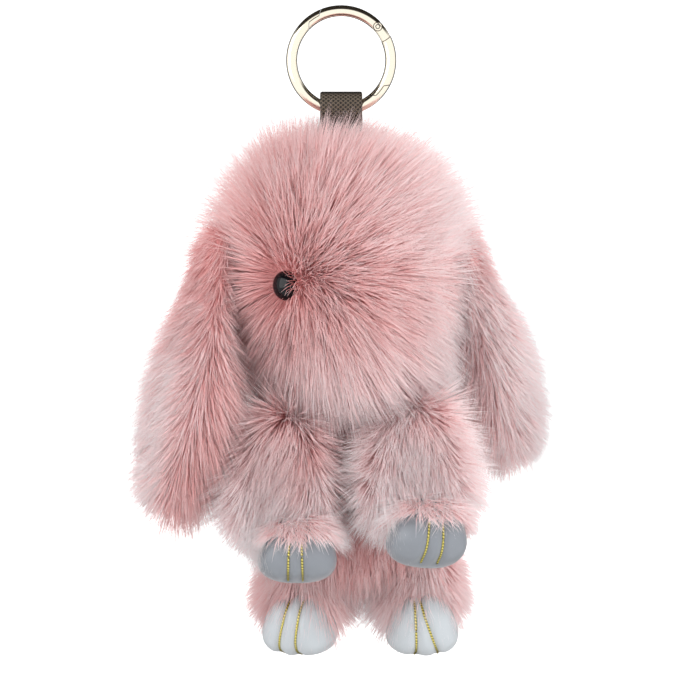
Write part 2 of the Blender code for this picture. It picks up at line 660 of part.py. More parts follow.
def build_body(fur, fibre, cord, neck, body):
    """The body's cover and filling, hollowed above by the head and with room for the neck."""
    cover = part("body_fur", soft_form(24, 14, body_shape()), fur, body)
    stuffing = part("body_stuffing", soft_form(14, 9, body_shape(-BODY_PILE - SOFT_GAP)), fibre, body)
    head_at = (0, 0, HEAD_HALF_HEIGHT)
    recess = cutter("head_recess", soft_form(24, 16, head_shape(SWING_GAP, muzzle=False)), neck, head_at)
    cavity = cutter("body_cavity", soft_form(14, 9, body_shape(-BODY_PILE)), body)
    under_roof = soft_form(16, 12, head_shape(BODY_PILE - SOFT_GAP, muzzle=False))
    roof = cutter("body_roof", under_roof, neck, head_at)
    above_filling = soft_form(16, 12, head_shape(BODY_PILE, muzzle=False))
    ceiling = cutter("filling_top", above_filling, neck, head_at)
    neck_end = -BODY_PILE
    neck_space = rod(NECK_RADIUS + SOFT_GAP, neck_end - SOFT_GAP, BODY_PILE, 20)
    neck_hole = cutter("body_neck_hole", neck_space, neck, rotation=FACET_TURN)
    combine(cavity, [roof])
    combine(cover, [recess, cavity, neck_hole])
    combine(stuffing, [ceiling, neck_hole])

    top = HEAD_PILE
    groove = 2 * NECK_CORD_RADIUS
    above = [(0, top), (NECK_RADIUS, top), (NECK_RADIUS, groove), (NECK_WAIST_RADIUS, groove / 2)]
    below = [(NECK_WAIST_RADIUS, -groove / 2), (NECK_RADIUS, -groove), (NECK_RADIUS, neck_end), (0, neck_end)]
    turn(part("neck_core", profile(above + below), fibre, neck), 20)
    tied = NECK_WAIST_RADIUS + SOFT_GAP + NECK_CORD_RADIUS
    part("neck_binding", hoop(tied, NECK_CORD_RADIUS, 16, 6), cord, neck)
    return cover, stuffing


def paw_form(half_width, half_depth, half_height, grow=0.0):
    """A paw turned about X with a groove on each side of the middle toe, its toes fanning out downwards."""
    lines = [TOE_LINE_OFFSET + step * TOE_LINE_HALF_WIDTH for step in (-1, 0, 1)]
    outer = [half_width * math.cos(math.radians(angle)) for angle in PAW_SIDE_ANGLES]
    right = outer + lines[::-1]
    stations = right + [0.0] + [-x for x in reversed(right)]
    rings = len(stations) + 1

    def shape(d):
        index = round(math.acos(max(-1.0, min(1.0, d.z))) / math.pi * rings)
        if index in (0, rings):
            return Vector((half_width + grow, 0, 0)) * (1 if index == 0 else -1)
        x = stations[index - 1]
        girth = math.sqrt(1 - (x / half_width) ** 2)
        inset = TOE_LINE_DEPTH if grow == 0 and math.isclose(abs(x), TOE_LINE_OFFSET) else 0.0
        angle = math.atan2(d.y, d.x)
        y = (half_depth * girth + grow - inset) * math.cos(angle)
        z = (half_height * girth + grow - inset) * math.sin(angle)
        fan = 1 - TOE_FAN * z / half_height
        return Vector((x * (half_width + grow) / half_width * fan, y, z))

    mesh = soft_form(14, rings, shape)
    bm = bmesh.new()
    bm.from_mesh(mesh)
    bmesh.ops.recalc_face_normals(bm, faces=bm.faces)
    return mesh_of(bm)


def build_paw(name, cord_name, sizes, satin, cord, limb, carrier, place, toe_turn):
    """A satin paw: its gathered stem goes up into the limb, which a cord ties into the stem's groove."""
    width, depth, height = sizes
    paw_frame = frame(f"{name}_frame", carrier, place, (0, 0, toe_turn))
    paw = part(name, paw_form(width, depth, height), satin, paw_frame)
    top = height + STEM_LENGTH
    groove = height + STEM_LENGTH / 2
    above = [(0, top), (STEM_RADIUS, top), (STEM_RADIUS, groove + 2 * STEM_CORD_RADIUS),
             (STEM_GROOVE_RADIUS, groove + STEM_CORD_RADIUS)]
    below = [(STEM_GROOVE_RADIUS, groove - STEM_CORD_RADIUS), (STEM_RADIUS, groove - 2 * STEM_CORD_RADIUS),
             (STEM_RADIUS, 0), (0, 0)]
    stem = turn(cutter(f"{name}_stem", profile(above + below), paw_frame), 16)
    combine(paw, [stem], "UNION")
    tied = STEM_GROOVE_RADIUS + SOFT_GAP + STEM_CORD_RADIUS
    part(cord_name, hoop(tied, STEM_CORD_RADIUS, 14, 5), cord, paw_frame, (0, 0, groove))
    widest = max(STEM_RADIUS, tied + STEM_CORD_RADIUS) + SOFT_GAP
    combine(limb, [cutter(f"{name}_space", paw_form(width, depth, height, SOFT_GAP), paw_frame),
                   cutter(f"{name}_stem_space", rod(widest, 0, top + SOFT_GAP), paw_frame)])


def build_arms(fur, satin, cord, cover, stuffing, grown, body):
    drop = {"left": SHOULDER_DROP_LEFT, "right": SHOULDER_DROP_RIGHT}
    tilt = {"left": ARM_TILT_LEFT, "right": ARM_TILT_RIGHT}
    toes = {"left": PAW_TURN_LEFT, "right": PAW_TURN_RIGHT}
    sizes = (PAW_HALF_WIDTH, PAW_HALF_DEPTH, PAW_HALF_HEIGHT)
    for name, side in SIDES.items():
        shoulder = (side * SHOULDER_SPREAD, -SHOULDER_REACH, NECK_RISE - drop[name])
        joint = frame(f"shoulder_{name}", body, shoulder, (-tilt[name], 0, 0))
        form = limb_shape(SHOULDER_BALL, ARM_LENGTH, ARM_HALF_WIDTH, ARM_HALF_DEPTH)
        arm, socket = build_limb(f"arm_{name}", SHOULDER_BALL, form, 18, 14, fur, grown, joint)
        combine(cover, [socket])
        combine(stuffing, [socket])
        build_paw(f"paw_{name}", f"paw_binding_{name}", sizes, satin, cord, arm, joint,
                  (PAW_SHIFT, -PAW_REACH, -PAW_DROP), toes[name])


def build_legs(fur, satin, cord, cover, stuffing, grown, body):
    toes = {"left": FOOT_TURN_LEFT, "right": FOOT_TURN_RIGHT}
    sizes = (FOOT_HALF_WIDTH, FOOT_HALF_DEPTH, FOOT_HALF_HEIGHT)
    back = LEG_SWING_BACK + SWING_MARGIN
    swings = (back, back / 2, -LEG_SWING_FORWARD - SWING_MARGIN)
    for name, side in SIDES.items():
        hip = (HIP_SHIFT + side * HIP_SPREAD, HIP_SETBACK, HIP_INSET - BODY_HALF_HEIGHT)
        joint = frame(f"hip_{name}", body, hip)
        form = limb_shape(HIP_BALL, LEG_LENGTH, LEG_HALF_WIDTH, LEG_HALF_DEPTH)
        leg, socket = build_limb(f"leg_{name}", HIP_BALL, form, 16, 12, fur, grown, joint, swings)
        combine(cover, [socket])
        combine(stuffing, [socket])
        build_paw(f"foot_{name}", f"foot_binding_{name}", sizes, satin, cord, leg, joint,
                  (0, -FOOT_REACH, -FOOT_DROP), toes[name])


def main():
    start_scene()
    gold = finish("pale_gold", (0.83, 0.72, 0.53), 0.15, 1.0)
    steel = finish("spring_steel", (0.55, 0.55, 0.56), 0.3, 1.0)
    leather = finish("brown_leather", (0.10, 0.075, 0.055), 0.6)
    thread = finish("brown_thread", (0.14, 0.10, 0.08), 0.8)
    fur = finish("pink_fur", (0.80, 0.45, 0.44), 0.9)
    fibre = finish("white_fibre", (0.85, 0.84, 0.82), 0.95)
    cord = finish("pink_cord", (0.70, 0.36, 0.35), 0.8)
    black = finish("eye_black", (0.01, 0.01, 0.012), 0.05)
    plastic = finish("washer_white", (0.80, 0.80, 0.80), 0.4)
    satin = finish("paw_satin", (0.72, 0.77, 0.83), 0.35)

    build_ring(gold, steel)
    axis = frame("strap_axis", None, (0, 0, STRAP_AXIS_Z))
    slit = build_strap(leather, thread, axis)
    head = frame("head_centre", axis, (0, 0, HEAD_CENTRE_Z - STRAP_AXIS_Z), (0, 0, HEAD_TURN))
    cover, stuffing = build_head(fur, fibre, black, plastic, slit, head)
    build_ears(fur, cover, stuffing, head)

    neck = frame("neck_axis", axis, (0, 0, NECK_Z - STRAP_AXIS_Z))
    body = frame("body_centre", neck, (BODY_SWAY, BODY_SETBACK, BODY_CENTRE_Z - NECK_Z))
    cover, stuffing = build_body(fur, fibre, cord, neck, body)
    grown = cutter("body_grown", soft_form(24, 14, body_shape(SOFT_GAP)), body)
    build_arms(fur, satin, cord, cover, stuffing, grown, body)
    build_legs(fur, satin, cord, cover, stuffing, grown, body)


main()
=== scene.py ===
"""Dresses the plush rabbit keychain: combed fur over sewn skins, satin paws, glossy eyes, a cross-grain
leather strap and a polished gate ring, on a plain white stage.

Places are in metres in the part's own frame: +Z up, the rabbit's front towards -Y.
"""

import json
import math

import bmesh
import bpy
import numpy as np
from bpy.props import FloatProperty, FloatVectorProperty, IntProperty, PointerProperty
from bpy.types import Operator, Panel, PropertyGroup
from mathutils import Matrix, Vector


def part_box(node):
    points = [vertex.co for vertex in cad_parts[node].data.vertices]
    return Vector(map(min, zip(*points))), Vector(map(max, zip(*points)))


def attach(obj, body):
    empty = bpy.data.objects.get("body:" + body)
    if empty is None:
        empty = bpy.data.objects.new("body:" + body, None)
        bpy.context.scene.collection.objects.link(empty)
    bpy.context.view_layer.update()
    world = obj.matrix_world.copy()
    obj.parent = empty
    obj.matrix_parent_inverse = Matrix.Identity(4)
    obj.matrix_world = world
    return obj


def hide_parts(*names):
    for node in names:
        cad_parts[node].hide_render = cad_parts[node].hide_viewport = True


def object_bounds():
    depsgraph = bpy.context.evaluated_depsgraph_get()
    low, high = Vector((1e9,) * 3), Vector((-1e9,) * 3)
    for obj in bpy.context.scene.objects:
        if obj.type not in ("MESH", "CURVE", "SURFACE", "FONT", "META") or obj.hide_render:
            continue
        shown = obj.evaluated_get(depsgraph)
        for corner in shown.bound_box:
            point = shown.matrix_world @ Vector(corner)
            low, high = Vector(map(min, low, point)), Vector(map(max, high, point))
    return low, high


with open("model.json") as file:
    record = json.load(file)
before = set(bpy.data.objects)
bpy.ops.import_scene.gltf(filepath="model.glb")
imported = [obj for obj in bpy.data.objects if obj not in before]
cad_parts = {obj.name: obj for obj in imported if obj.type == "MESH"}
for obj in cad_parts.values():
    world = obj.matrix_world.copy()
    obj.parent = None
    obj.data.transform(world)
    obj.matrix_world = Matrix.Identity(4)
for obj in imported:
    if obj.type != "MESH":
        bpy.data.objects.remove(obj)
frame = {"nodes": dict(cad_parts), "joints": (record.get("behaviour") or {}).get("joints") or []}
cad_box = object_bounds()
PIVOTS = {joint["name"]: joint["pos_m"] for joint in frame["joints"]}

bl_info = {
    "name": "Plush rabbit keychain",
    "version": (1, 0, 0),
    "blender": (4, 5, 0),
    "location": "3D View > Sidebar > Keychain",
    "description": "Dresses the keychain's solids with fur, satin, leather and metal",
    "category": "Object",
}

SIDES = {"left": -1, "right": 1}
DOWN = np.array([0.0, 0.0, -1.0])
SAME_PLACE = 1e-6


# Settings


def length(name, default, description):
    return FloatProperty(name=name, description=description, default=default, precision=5,
                         subtype="DISTANCE", unit="LENGTH")


def share(name, default, description):
    return FloatProperty(name=name, description=description, default=default, min=0.0, max=4.0)


def angle(name, degrees, description):
    return FloatProperty(name=name, description=description, default=math.radians(degrees), subtype="ANGLE")


def colour(name, default, description):
    return FloatVectorProperty(name=name, description=description, default=default, size=3, subtype="COLOR",
                               min=0.0, max=1.0)


class PileSettings(PropertyGroup):
    strand_width: length("Strand width", 0.00020, "Width of a hair at its root")
    tuft_spacing: length("Tuft spacing", 0.0029, "Distance between tufts that hairs gather into")
    tuft_pull: share("Tuft pull", 0.64, "How far the tips gather towards their tuft")
    scatter: share("Scatter", 0.24, "How far single hairs stray from the comb")
    tuft_stray: share("Tuft stray", 0.13, "How far whole tufts stray from the comb")
    tuft_tone: share("Tuft tone", 0.22, "How far tufts differ in tone")
    curl: share("Curl", 0.16, "How far the tips of single hairs curl")
    sink: length("Root depth", 0.0006, "How far roots start under the skin")
    seed: IntProperty(name="Seed", description="Seed of the random places", default=7)
    root_deep: colour("Deep root", (0.77, 0.30, 0.29), "Root of the deeper hairs")
    middle_deep: colour("Deep middle", (0.84, 0.41, 0.40), "Middle of the deeper hairs")
    tip_deep: colour("Deep tip", (0.87, 0.56, 0.555), "Tip of the deeper hairs")
    root_pale: colour("Pale root", (0.91, 0.45, 0.45), "Root of the paler hairs")
    middle_pale: colour("Pale middle", (0.96, 0.66, 0.66), "Middle of the paler hairs")
    tip_pale: colour("Pale tip", (1.0, 0.96, 0.97), "Tip of the paler hairs")
    cloth: colour("Backing cloth", (0.77, 0.33, 0.32), "Knitted cloth under the pile")


class HardwareSettings(PropertyGroup):
    gold: colour("Pale gold", (0.93, 0.86, 0.72), "Plating of the ring, the gate and its pin")
    gold_roughness: share("Polish", 0.09, "Roughness of the plating")
    steel: colour("Spring steel", (0.55, 0.55, 0.56), "Coil and follower inside the gate")
    wire_radius: length("Wire radius", 0.00153, "Radius of the ring's wire")
    bore_radius: length("Ring bore", 0.0122, "Inside radius of the ring")
    # The joint lines' dark colour is painted shade in the gaps of the gate and its rivet
    seam: colour("Joint line", (0.10, 0.075, 0.05), "Painted shade in the gate's joint lines")
    seam_width: length("Joint line width", 0.00022, "Width of the dark joint lines")
    heel_reach: length("Heel", 0.00435, "Joint line of the gate's heel, from its pivot")
    step_reach: length("Latch step", 0.01645, "Outer joint line of the latch, from the pivot")
    lip_reach: length("Latch lip", 0.01905, "Inner joint line of the latch, from the pivot")
    rivet_radius: length("Rivet", 0.0012, "Joint line of the rivet's head")
    dimple_radius: length("Rivet dimple", 0.00055, "Dimple in the rivet's head")


class StrapSettings(PropertyGroup):
    leather: colour("Leather", (0.135, 0.102, 0.073), "Ridges of the cross grain")
    hollow: colour("Grain hollows", (0.008, 0.005, 0.003), "Hollows of the cross grain")
    width: length("Width", 0.0117, "Width of the strap")
    thickness: length("Thickness", 0.0018, "Thickness of one ply")
    edge_radius: length("Edge radius", 0.0006, "Rounding of the strap's edges")
    neck_radius: length("Neck radius", 0.0020, "Bend where the plies come together under the ring")
    ply_gap: length("Ply gap", 0.0002, "Gap between the two plies")
    tail: length("Tail", 0.0215, "Reach of the plies below the ring's axis")
    grain_pitch: length("Grain pitch", 0.00136, "Distance between the lines of the cross grain")


class PawSettings(PropertyGroup):
    # The paws' satin is the feet's cloth darkened as painted shade under the arms' fur; the feet's satin is
    # its lit copy
    satin: colour("Paw satin", (0.215, 0.232, 0.258), "Satin of the paws")
    lit_satin: colour("Foot satin", (0.49, 0.525, 0.55), "Satin of the feet")
    thread: colour("Toe thread", (0.98, 0.84, 0.22), "Metallic thread of the toe lines")
    thread_radius: length("Thread radius", 0.00030, "Radius of the toe thread")
    line_width: length("Toe line width", 0.0011, "Half-width of the pinch along a toe line")
    line_depth: length("Toe line depth", 0.0010, "Depth of the pinch along a toe line")
    fan: share("Toe fan", 0.22, "How far the toes spread downwards")
    fullness: share("Fullness", 2.5, "Power of the paw's outline: 2 is an ellipse, more is fuller")


class EyeSettings(PropertyGroup):
    black: colour("Eye", (0.006, 0.006, 0.008), "Safety eye")
    dome_height: length("Dome height", 0.0027, "Height of the eye's dome")
    rim: length("Rim", 0.0006, "Straight rim under the dome")


class StageSettings(PropertyGroup):
    white: colour("Backdrop", (0.90, 0.90, 0.90), "Floor and backdrop")
    distance: length("Camera distance", 1.10, "Distance of the camera from the part")
    elevation: angle("Camera elevation", 2.0, "Camera height above the horizon")
    drop: length("Floor drop", 0.022, "Distance from the feet to the floor")
    ambient: share("Ambient", 0.92, "Strength of the room's even light")
    reflected: share("Reflected", 1.15, "Strength of the room in reflections")
    dark: colour("Dark reflections", (0.02, 0.017, 0.014), "Ceiling and far wall in reflections")


# Helpers for meshes


def add_object(name, data):
    obj = bpy.data.objects.new(name, data)
    bpy.context.scene.collection.objects.link(obj)
    return obj


def finished(obj):
    """The object's mesh with its modifiers applied, in place of the object."""
    evaluated = obj.evaluated_get(bpy.context.evaluated_depsgraph_get())
    mesh = bpy.data.meshes.new_from_object(evaluated)
    bpy.data.objects.remove(obj)
    return mesh


def copied(node):
    """A CAD node's mesh as a bmesh with its corners joined."""
    bm = bmesh.new()
    bm.from_mesh(frame["nodes"][node].data)
    bmesh.ops.remove_doubles(bm, verts=bm.verts, dist=SAME_PLACE)
    return bm


def mesh_from(bm, name):
    mesh = bpy.data.meshes.new(name)
    bm.to_mesh(mesh)
    bm.free()
    mesh.shade_smooth()
    return mesh


def rows_of(items, field):
    """A field of three numbers, as one row for each item."""
    flat = np.empty(len(items) * 3, np.float32)
    items.foreach_get(field, flat)
    return flat.reshape(-1, 3).astype(float)


def places_of(mesh):
    return rows_of(mesh.vertices, "co")


def normals_of(mesh):
    return rows_of(mesh.vertex_normals, "vector")


def move(mesh, places):
    mesh.vertices.foreach_set("co", places.astype(np.float32).ravel())
    mesh.update()


def unit(vectors):
    return vectors / np.maximum(np.linalg.norm(vectors, axis=-1, keepdims=True), 1e-9)


def along_surface(vectors, normals):
    """The unit direction of each vector along the surface with these normals."""
    return unit(vectors - normals * (vectors * normals).sum(1, keepdims=True))


def smooth_step(value, low, high):
    t = np.clip((value - low) / (high - low), 0.0, 1.0)
    return t * t * (3 - 2 * t)


def gaps(places, point):
    """The distance of each place from a point, or from its own one of as many points."""
    return np.linalg.norm(places - point, axis=1)


def bell(distance, reach):
    """1 at no distance, falling to about a third at the reach and to nothing beyond it."""
    return np.exp(-(distance / reach) ** 2)


def store(mesh, name, kind, values):
    attribute = mesh.attributes.new(name, kind, "POINT")
    field = "vector" if kind == "FLOAT_VECTOR" else "value"
    attribute.data.foreach_set(field, np.ascontiguousarray(values, np.float32).ravel())


def circle(radius, sides, height=0.0):
    """Points spaced evenly round the Z axis."""
    turns = [math.tau * k / sides for k in range(sides)]
    return [Vector((radius * math.cos(turn), radius * math.sin(turn), height)) for turn in turns]


def beside(path, i):
    """The points before and after a path's point, which is itself one of them at an end."""
    return path[max(i - 1, 0)], path[min(i + 1, len(path) - 1)]


def lofted(rows):
    """A bmesh through rows of points, each row a closed loop, with its ends capped by fans."""
    bm = bmesh.new()
    rings = [[bm.verts.new(point) for point in row] for row in rows]
    count = len(rings[0])
    for low, high in zip(rings, rings[1:]):
        for i in range(count):
            j = (i + 1) % count
            bm.faces.new((low[i], low[j], high[j], high[i]))
    for ring in (rings[0], rings[-1]):
        centre = bm.verts.new(sum((vert.co for vert in ring), Vector()) / count)
        for i in range(count):
            bm.faces.new((ring[i], ring[(i + 1) % count], centre))
    bmesh.ops.recalc_face_normals(bm, faces=bm.faces)
    return bm


def map_rows(mesh, name, across, along):
    """A map on a lofted mesh: U by each point's place in its row, and V by its row."""
    count = len(across)
    values = np.zeros((len(mesh.loops), 2), np.float32)
    for loop in mesh.loops:
        index = min(loop.vertex_index, count * len(along) - 1)
        values[loop.index] = (across[index % count], along[index // count])
    mesh.uv_layers.new(name=name).data.foreach_set("uv", values.ravel())


# Helpers for node trees


def fill(tree, socket, value):
    """Links a socket to another one, or sets its value, with an alpha of 1 added to a colour."""
    if isinstance(value, bpy.types.NodeSocket):
        tree.links.new(value, socket)
    else:
        socket.default_value = (*value, 1.0) if socket.type == "RGBA" else value


def add_node(tree, kind, inputs=None, **settings):
    """A node with its settings made, and its inputs set to values or linked to sockets."""
    node = tree.nodes.new(kind)
    for key, value in settings.items():
        setattr(node, key, value)
    for key, value in (inputs or {}).items():
        fill(tree, node.inputs[key], value)
    return node


def maths(tree, operation, a, b=0.0, c=0.0):
    return add_node(tree, "ShaderNodeMath", {0: a, 1: b, 2: c}, operation=operation).outputs[0]


def vectors(tree, operation, a, b=(0.0, 0.0, 0.0)):
    node = add_node(tree, "ShaderNodeVectorMath", {0: a, 1: b}, operation=operation)
    return node.outputs["Vector"]


def scaled(tree, vector, by):
    node = add_node(tree, "ShaderNodeVectorMath", {0: vector, "Scale": by}, operation="SCALE")
    return node.outputs["Vector"]


def parts_of(tree, vector):
    return add_node(tree, "ShaderNodeSeparateXYZ", {0: vector}).outputs


def new_material(name, **values):
    """A material with a Principled shader, whose uniform values are set on its own sockets."""
    material = bpy.data.materials.new(name)
    material.use_nodes = True
    tree = material.node_tree
    shader = tree.nodes["Principled BSDF"]
    for key, value in values.items():
        fill(tree, shader.inputs[key.replace("_", " ")], value)
    return material, tree, shader


def ramp(tree, factor, stops):
    node = add_node(tree, "ShaderNodeValToRGB", {0: factor})
    elements = node.color_ramp.elements
    while len(elements) < len(stops):
        elements.new(0.5)
    for element, (place, tone) in zip(elements, stops):
        element.position = place
        element.color = (*tone, 1.0)
    return node.outputs["Color"]


def mixed(tree, factor, a, b):
    return add_node(tree, "ShaderNodeMix", {0: factor, 6: a, 7: b}, data_type="RGBA").outputs[2]


def tinted(tree, shader, factor, a, b):
    """Gives the shader a base colour between two tones."""
    tree.links.new(mixed(tree, factor, a, b), shader.inputs["Base Color"])


def mottled(tree, shader, factor, tone, deep):
    """Gives the shader a base colour between a deep share of a tone and the whole of it."""
    tinted(tree, shader, factor, tuple(deep * value for value in tone), tone)


def object_places(tree):
    return add_node(tree, "ShaderNodeTexCoord").outputs["Object"]


def map_places(tree, name):
    return add_node(tree, "ShaderNodeUVMap", uv_map=name).outputs["UV"]


def bumped(tree, shader, height, strength, distance):
    bump = add_node(tree, "ShaderNodeBump", {"Height": height, "Strength": strength, "Distance": distance})
    tree.links.new(bump.outputs["Normal"], shader.inputs["Normal"])


def noise(tree, scale, detail=2.0):
    inputs = {"Vector": object_places(tree), "Scale": scale, "Detail": detail}
    return add_node(tree, "ShaderNodeTexNoise", inputs).outputs[0]


# Materials


def fur_material(pile):
    """Hair, deep at its root and pale at its tip: the map's U is its own tone, and V runs along it."""
    material, tree, shader = new_material("pink_pile", Roughness=0.75, Specular_IOR_Level=0.10)
    parts = parts_of(tree, map_places(tree, "OFBake"))
    along = parts["Y"]
    deep = ramp(tree, along, [(0.0, pile.root_deep), (0.5, pile.middle_deep), (1.0, pile.tip_deep)])
    pale = ramp(tree, along, [(0.0, pile.root_pale), (0.5, pile.middle_pale), (0.92, pile.tip_pale)])
    tinted(tree, shader, parts["X"], deep, pale)
    return material


def cloth_material(pile):
    """Knitted backing that shows between the roots."""
    material, tree, shader = new_material("pile_backing", Roughness=0.9)
    mottled(tree, shader, noise(tree, 900.0, 3.0), pile.cloth, 0.7)
    bumped(tree, shader, noise(tree, 2200.0), 0.4, 0.0004)
    return material


def plain_material(name, tone, scale, deep, roughness):
    """A finish with a fine, slight change of tone, for the pieces inside."""
    material, tree, shader = new_material(name, Roughness=roughness)
    mottled(tree, shader, noise(tree, scale, 4.0), tone, deep)
    bumped(tree, shader, noise(tree, 3.0 * scale), 0.25, 0.0002)
    return material


def metal_material(name, tone, roughness):
    """Polished metal with faint wipe marks."""
    material, tree, shader = new_material(name, Base_Color=tone, Metallic=1.0)
    marks = maths(tree, "MULTIPLY_ADD", noise(tree, 420.0, 5.0), 0.10, roughness - 0.03)
    tree.links.new(marks, shader.inputs["Roughness"])
    bumped(tree, shader, noise(tree, 260.0), 0.02, 0.0002)
    return material


def plating_material(hardware):
    """Pale gold plating, with painted shade as a dark line in the joint lines of the gate and its rivet."""
    material = metal_material("pale_gold_plating", hardware.gold, hardware.gold_roughness)
    tree = material.node_tree
    places = object_places(tree)
    flat = vectors(tree, "MULTIPLY", places, (1.0, 0.0, 1.0))
    pivot = PIVOTS["gate_hinge"]
    step = hardware.step_reach
    lip = hardware.lip_reach

    def distance(x, z):
        node = add_node(tree, "ShaderNodeVectorMath", {0: flat, 1: (x, 0.0, z)}, operation="DISTANCE")
        return node.outputs["Value"]

    def within(value, middle, half=hardware.seam_width / 2):
        return maths(tree, "COMPARE", value, middle, half)

    def both(a, b):
        return maths(tree, "MULTIPLY", a, b)

    from_pivot = distance(pivot[0], pivot[2])
    from_centre = distance(0.0, -hardware.bore_radius)
    mean = hardware.bore_radius + hardware.wire_radius
    outside = maths(tree, "GREATER_THAN", from_centre, mean)
    inside = maths(tree, "LESS_THAN", from_centre, mean)
    right = maths(tree, "GREATER_THAN", parts_of(tree, places)["X"], pivot[0])
    # Each joint line, and the rivet's dimple, is painted dark as the shade in its gap
    joint_shades = [
        both(within(from_pivot, hardware.heel_reach), right),
        both(within(from_pivot, step), outside),
        both(within(from_pivot, lip), inside),
        both(within(from_centre, mean), within(from_pivot, (step + lip) / 2, (lip - step) / 2)),
        within(from_pivot, hardware.rivet_radius),
        within(from_pivot, hardware.dimple_radius),
    ]
    line = joint_shades[0]
    for seam in joint_shades[1:]:
        line = maths(tree, "MAXIMUM", line, seam)
    tinted(tree, tree.nodes["Principled BSDF"], line, hardware.gold, hardware.seam)
    return material


def eye_material(eye):
    """Black plastic with a high polish."""
    material, tree, shader = new_material("eye_gloss", Roughness=0.05, Specular_IOR_Level=0.22)
    mottled(tree, shader, noise(tree, 700.0), eye.black, 0.5)
    return material


def satin_material(name, satin):
    """Woven satin: a fine twill, with a slight mottle."""
    material, tree, shader = new_material(name, Roughness=0.38, Sheen_Weight=0.25, Sheen_Roughness=0.4)
    mottled(tree, shader, noise(tree, 160.0, 3.0), satin, 0.90)
    inputs = {"Vector": object_places(tree), "Scale": 520.0, "Distortion": 0.4}
    twill = add_node(tree, "ShaderNodeTexWave", inputs, wave_type="BANDS", bands_direction="DIAGONAL")
    bumped(tree, shader, twill.outputs["Fac"], 0.05, 0.0001)
    return material


def thread_material(paw):
    """Metallic thread: two strands laid together, along the map's V."""
    material, tree, shader = new_material("toe_thread_gold", Metallic=0.9, Roughness=0.32)
    inputs = {"Vector": map_places(tree, "thread"), "Scale": 0.45}
    lay = add_node(tree, "ShaderNodeTexWave", inputs, bands_direction="DIAGONAL").outputs["Fac"]
    mottled(tree, shader, lay, paw.thread, 0.18)
    bumped(tree, shader, lay, 0.6, 0.0001)
    return material


def leather_material(strap):
    """Cross-grain leather: raised lines on both diagonals, dark hollows between them, and the top of the
    fold darkened as painted shade.
    """
    material, tree, shader = new_material("cross_grain_leather", Roughness=0.55)
    parts = parts_of(tree, map_places(tree, "grain"))
    lines = []
    for sign in (1.0, -1.0):
        slant = maths(tree, "MULTIPLY_ADD", parts["Y"], 1.4 * sign, parts["X"])
        wave = maths(tree, "SINE", maths(tree, "MULTIPLY", slant, math.tau / strap.grain_pitch))
        lines.append(maths(tree, "POWER", maths(tree, "MULTIPLY_ADD", wave, 0.5, 0.5), 2.5))
    uneven = maths(tree, "MULTIPLY_ADD", noise(tree, 900.0, 4.0), 0.6, 0.7)
    grain = maths(tree, "MULTIPLY", maths(tree, "MAXIMUM", *lines), uneven)
    tone = ramp(tree, grain, [(0.22, strap.hollow), (0.85, strap.leather)])
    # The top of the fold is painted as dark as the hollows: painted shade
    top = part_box("strap")[1].z
    up = parts_of(tree, object_places(tree))["Z"]
    fold_shade = add_node(tree, "ShaderNodeMapRange", {0: up, 1: top - 0.0011, 2: top - 0.0002}).outputs[0]
    tinted(tree, shader, fold_shade, tone, strap.hollow)
    bumped(tree, shader, grain, 0.7, 0.00025)
    return material


def backdrop_material(stage):
    """White to the camera and clear to reflections, and otherwise a pale sheet that takes the shadow."""
    material, tree, shader = new_material("backdrop_white", Base_Color=stage.white, Roughness=0.9,
                                          Emission_Color=(1.0, 1.0, 1.0))
    path = add_node(tree, "ShaderNodeLightPath").outputs
    seen = maths(tree, "MAXIMUM", path["Is Camera Ray"], path["Is Transmission Ray"])
    tree.links.new(maths(tree, "MULTIPLY", seen, BACKDROP_GLOW), shader.inputs["Emission Strength"])
    clear = add_node(tree, "ShaderNodeBsdfTransparent").outputs[0]
    inputs = {0: path["Is Glossy Ray"], 1: shader.outputs[0], 2: clear}
    blend = add_node(tree, "ShaderNodeMixShader", inputs).outputs[0]
    tree.links.new(blend, tree.nodes["Material Output"].inputs["Surface"])
    return material


def studio_world(stage):
    """An even white room. Its reflections are brighter, with a dark ceiling and a dark far wall."""
    world = bpy.data.worlds.new("studio")
    world.use_nodes = True
    tree = world.node_tree
    glossy = add_node(tree, "ShaderNodeLightPath").outputs["Is Glossy Ray"]
    parts = parts_of(tree, scaled(tree, add_node(tree, "ShaderNodeNewGeometry").outputs["Incoming"], -1.0))

    def beyond(value, low, high):
        inputs = {0: value, 1: low, 2: high}
        return add_node(tree, "ShaderNodeMapRange", inputs, interpolation_type="SMOOTHSTEP").outputs[0]

    dark = maths(tree, "MAXIMUM", beyond(parts["Z"], 0.42, 0.62), beyond(parts["Y"], 0.15, 0.60))
    dark = maths(tree, "MULTIPLY", dark, glossy)
    room = tree.nodes["Background"].inputs
    tree.links.new(mixed(tree, dark, (1.0, 1.0, 1.0), stage.dark), room["Color"])
    level = maths(tree, "MULTIPLY_ADD", glossy, stage.reflected - stage.ambient, stage.ambient)
    tree.links.new(level, room["Strength"])
    return world


# Fur
#
# Depths and lengths are in metres and leans in degrees from upright. Tones run from 0, deep, to 1, pale.

# The hairs of each kind of piece, and the number of objects that they are split into
STRANDS = {
    "head": (57000, 4),
    "ear": (21000, 2),
    "body": (18000, 1),
    "arm": (19000, 1),
    "cuff": (3600, 1),
    "leg": (10000, 1),
}
# One hair: points along it, sides round it, its tip's share of its width, and how hairs differ
STRAND_POINTS = 3
STRAND_SIDES = 3
STRAND_TIP = 0.004
STRAND_REACH = (0.60, 1.12)
STRAND_TONE = 0.15
TIP_MERGE = 2e-6
# The skin under the pile: the size of its faces and the passes that smooth it
BACKING_VOXEL = 0.0018
BACKING_PASSES = 10
# Each random draw's offset from the pile's seed
DRAWS = {"scatter": 11, "tuft_stray": 13, "reach": 23, "tone": 37, "tuft_tone": 41, "curl": 53}
# The pile's settings that its node group takes as they are
PILE_SHARES = ("Strand Width", "Tuft Pull", "Tuft Stray", "Tuft Tone", "Scatter", "Curl", "Sink")


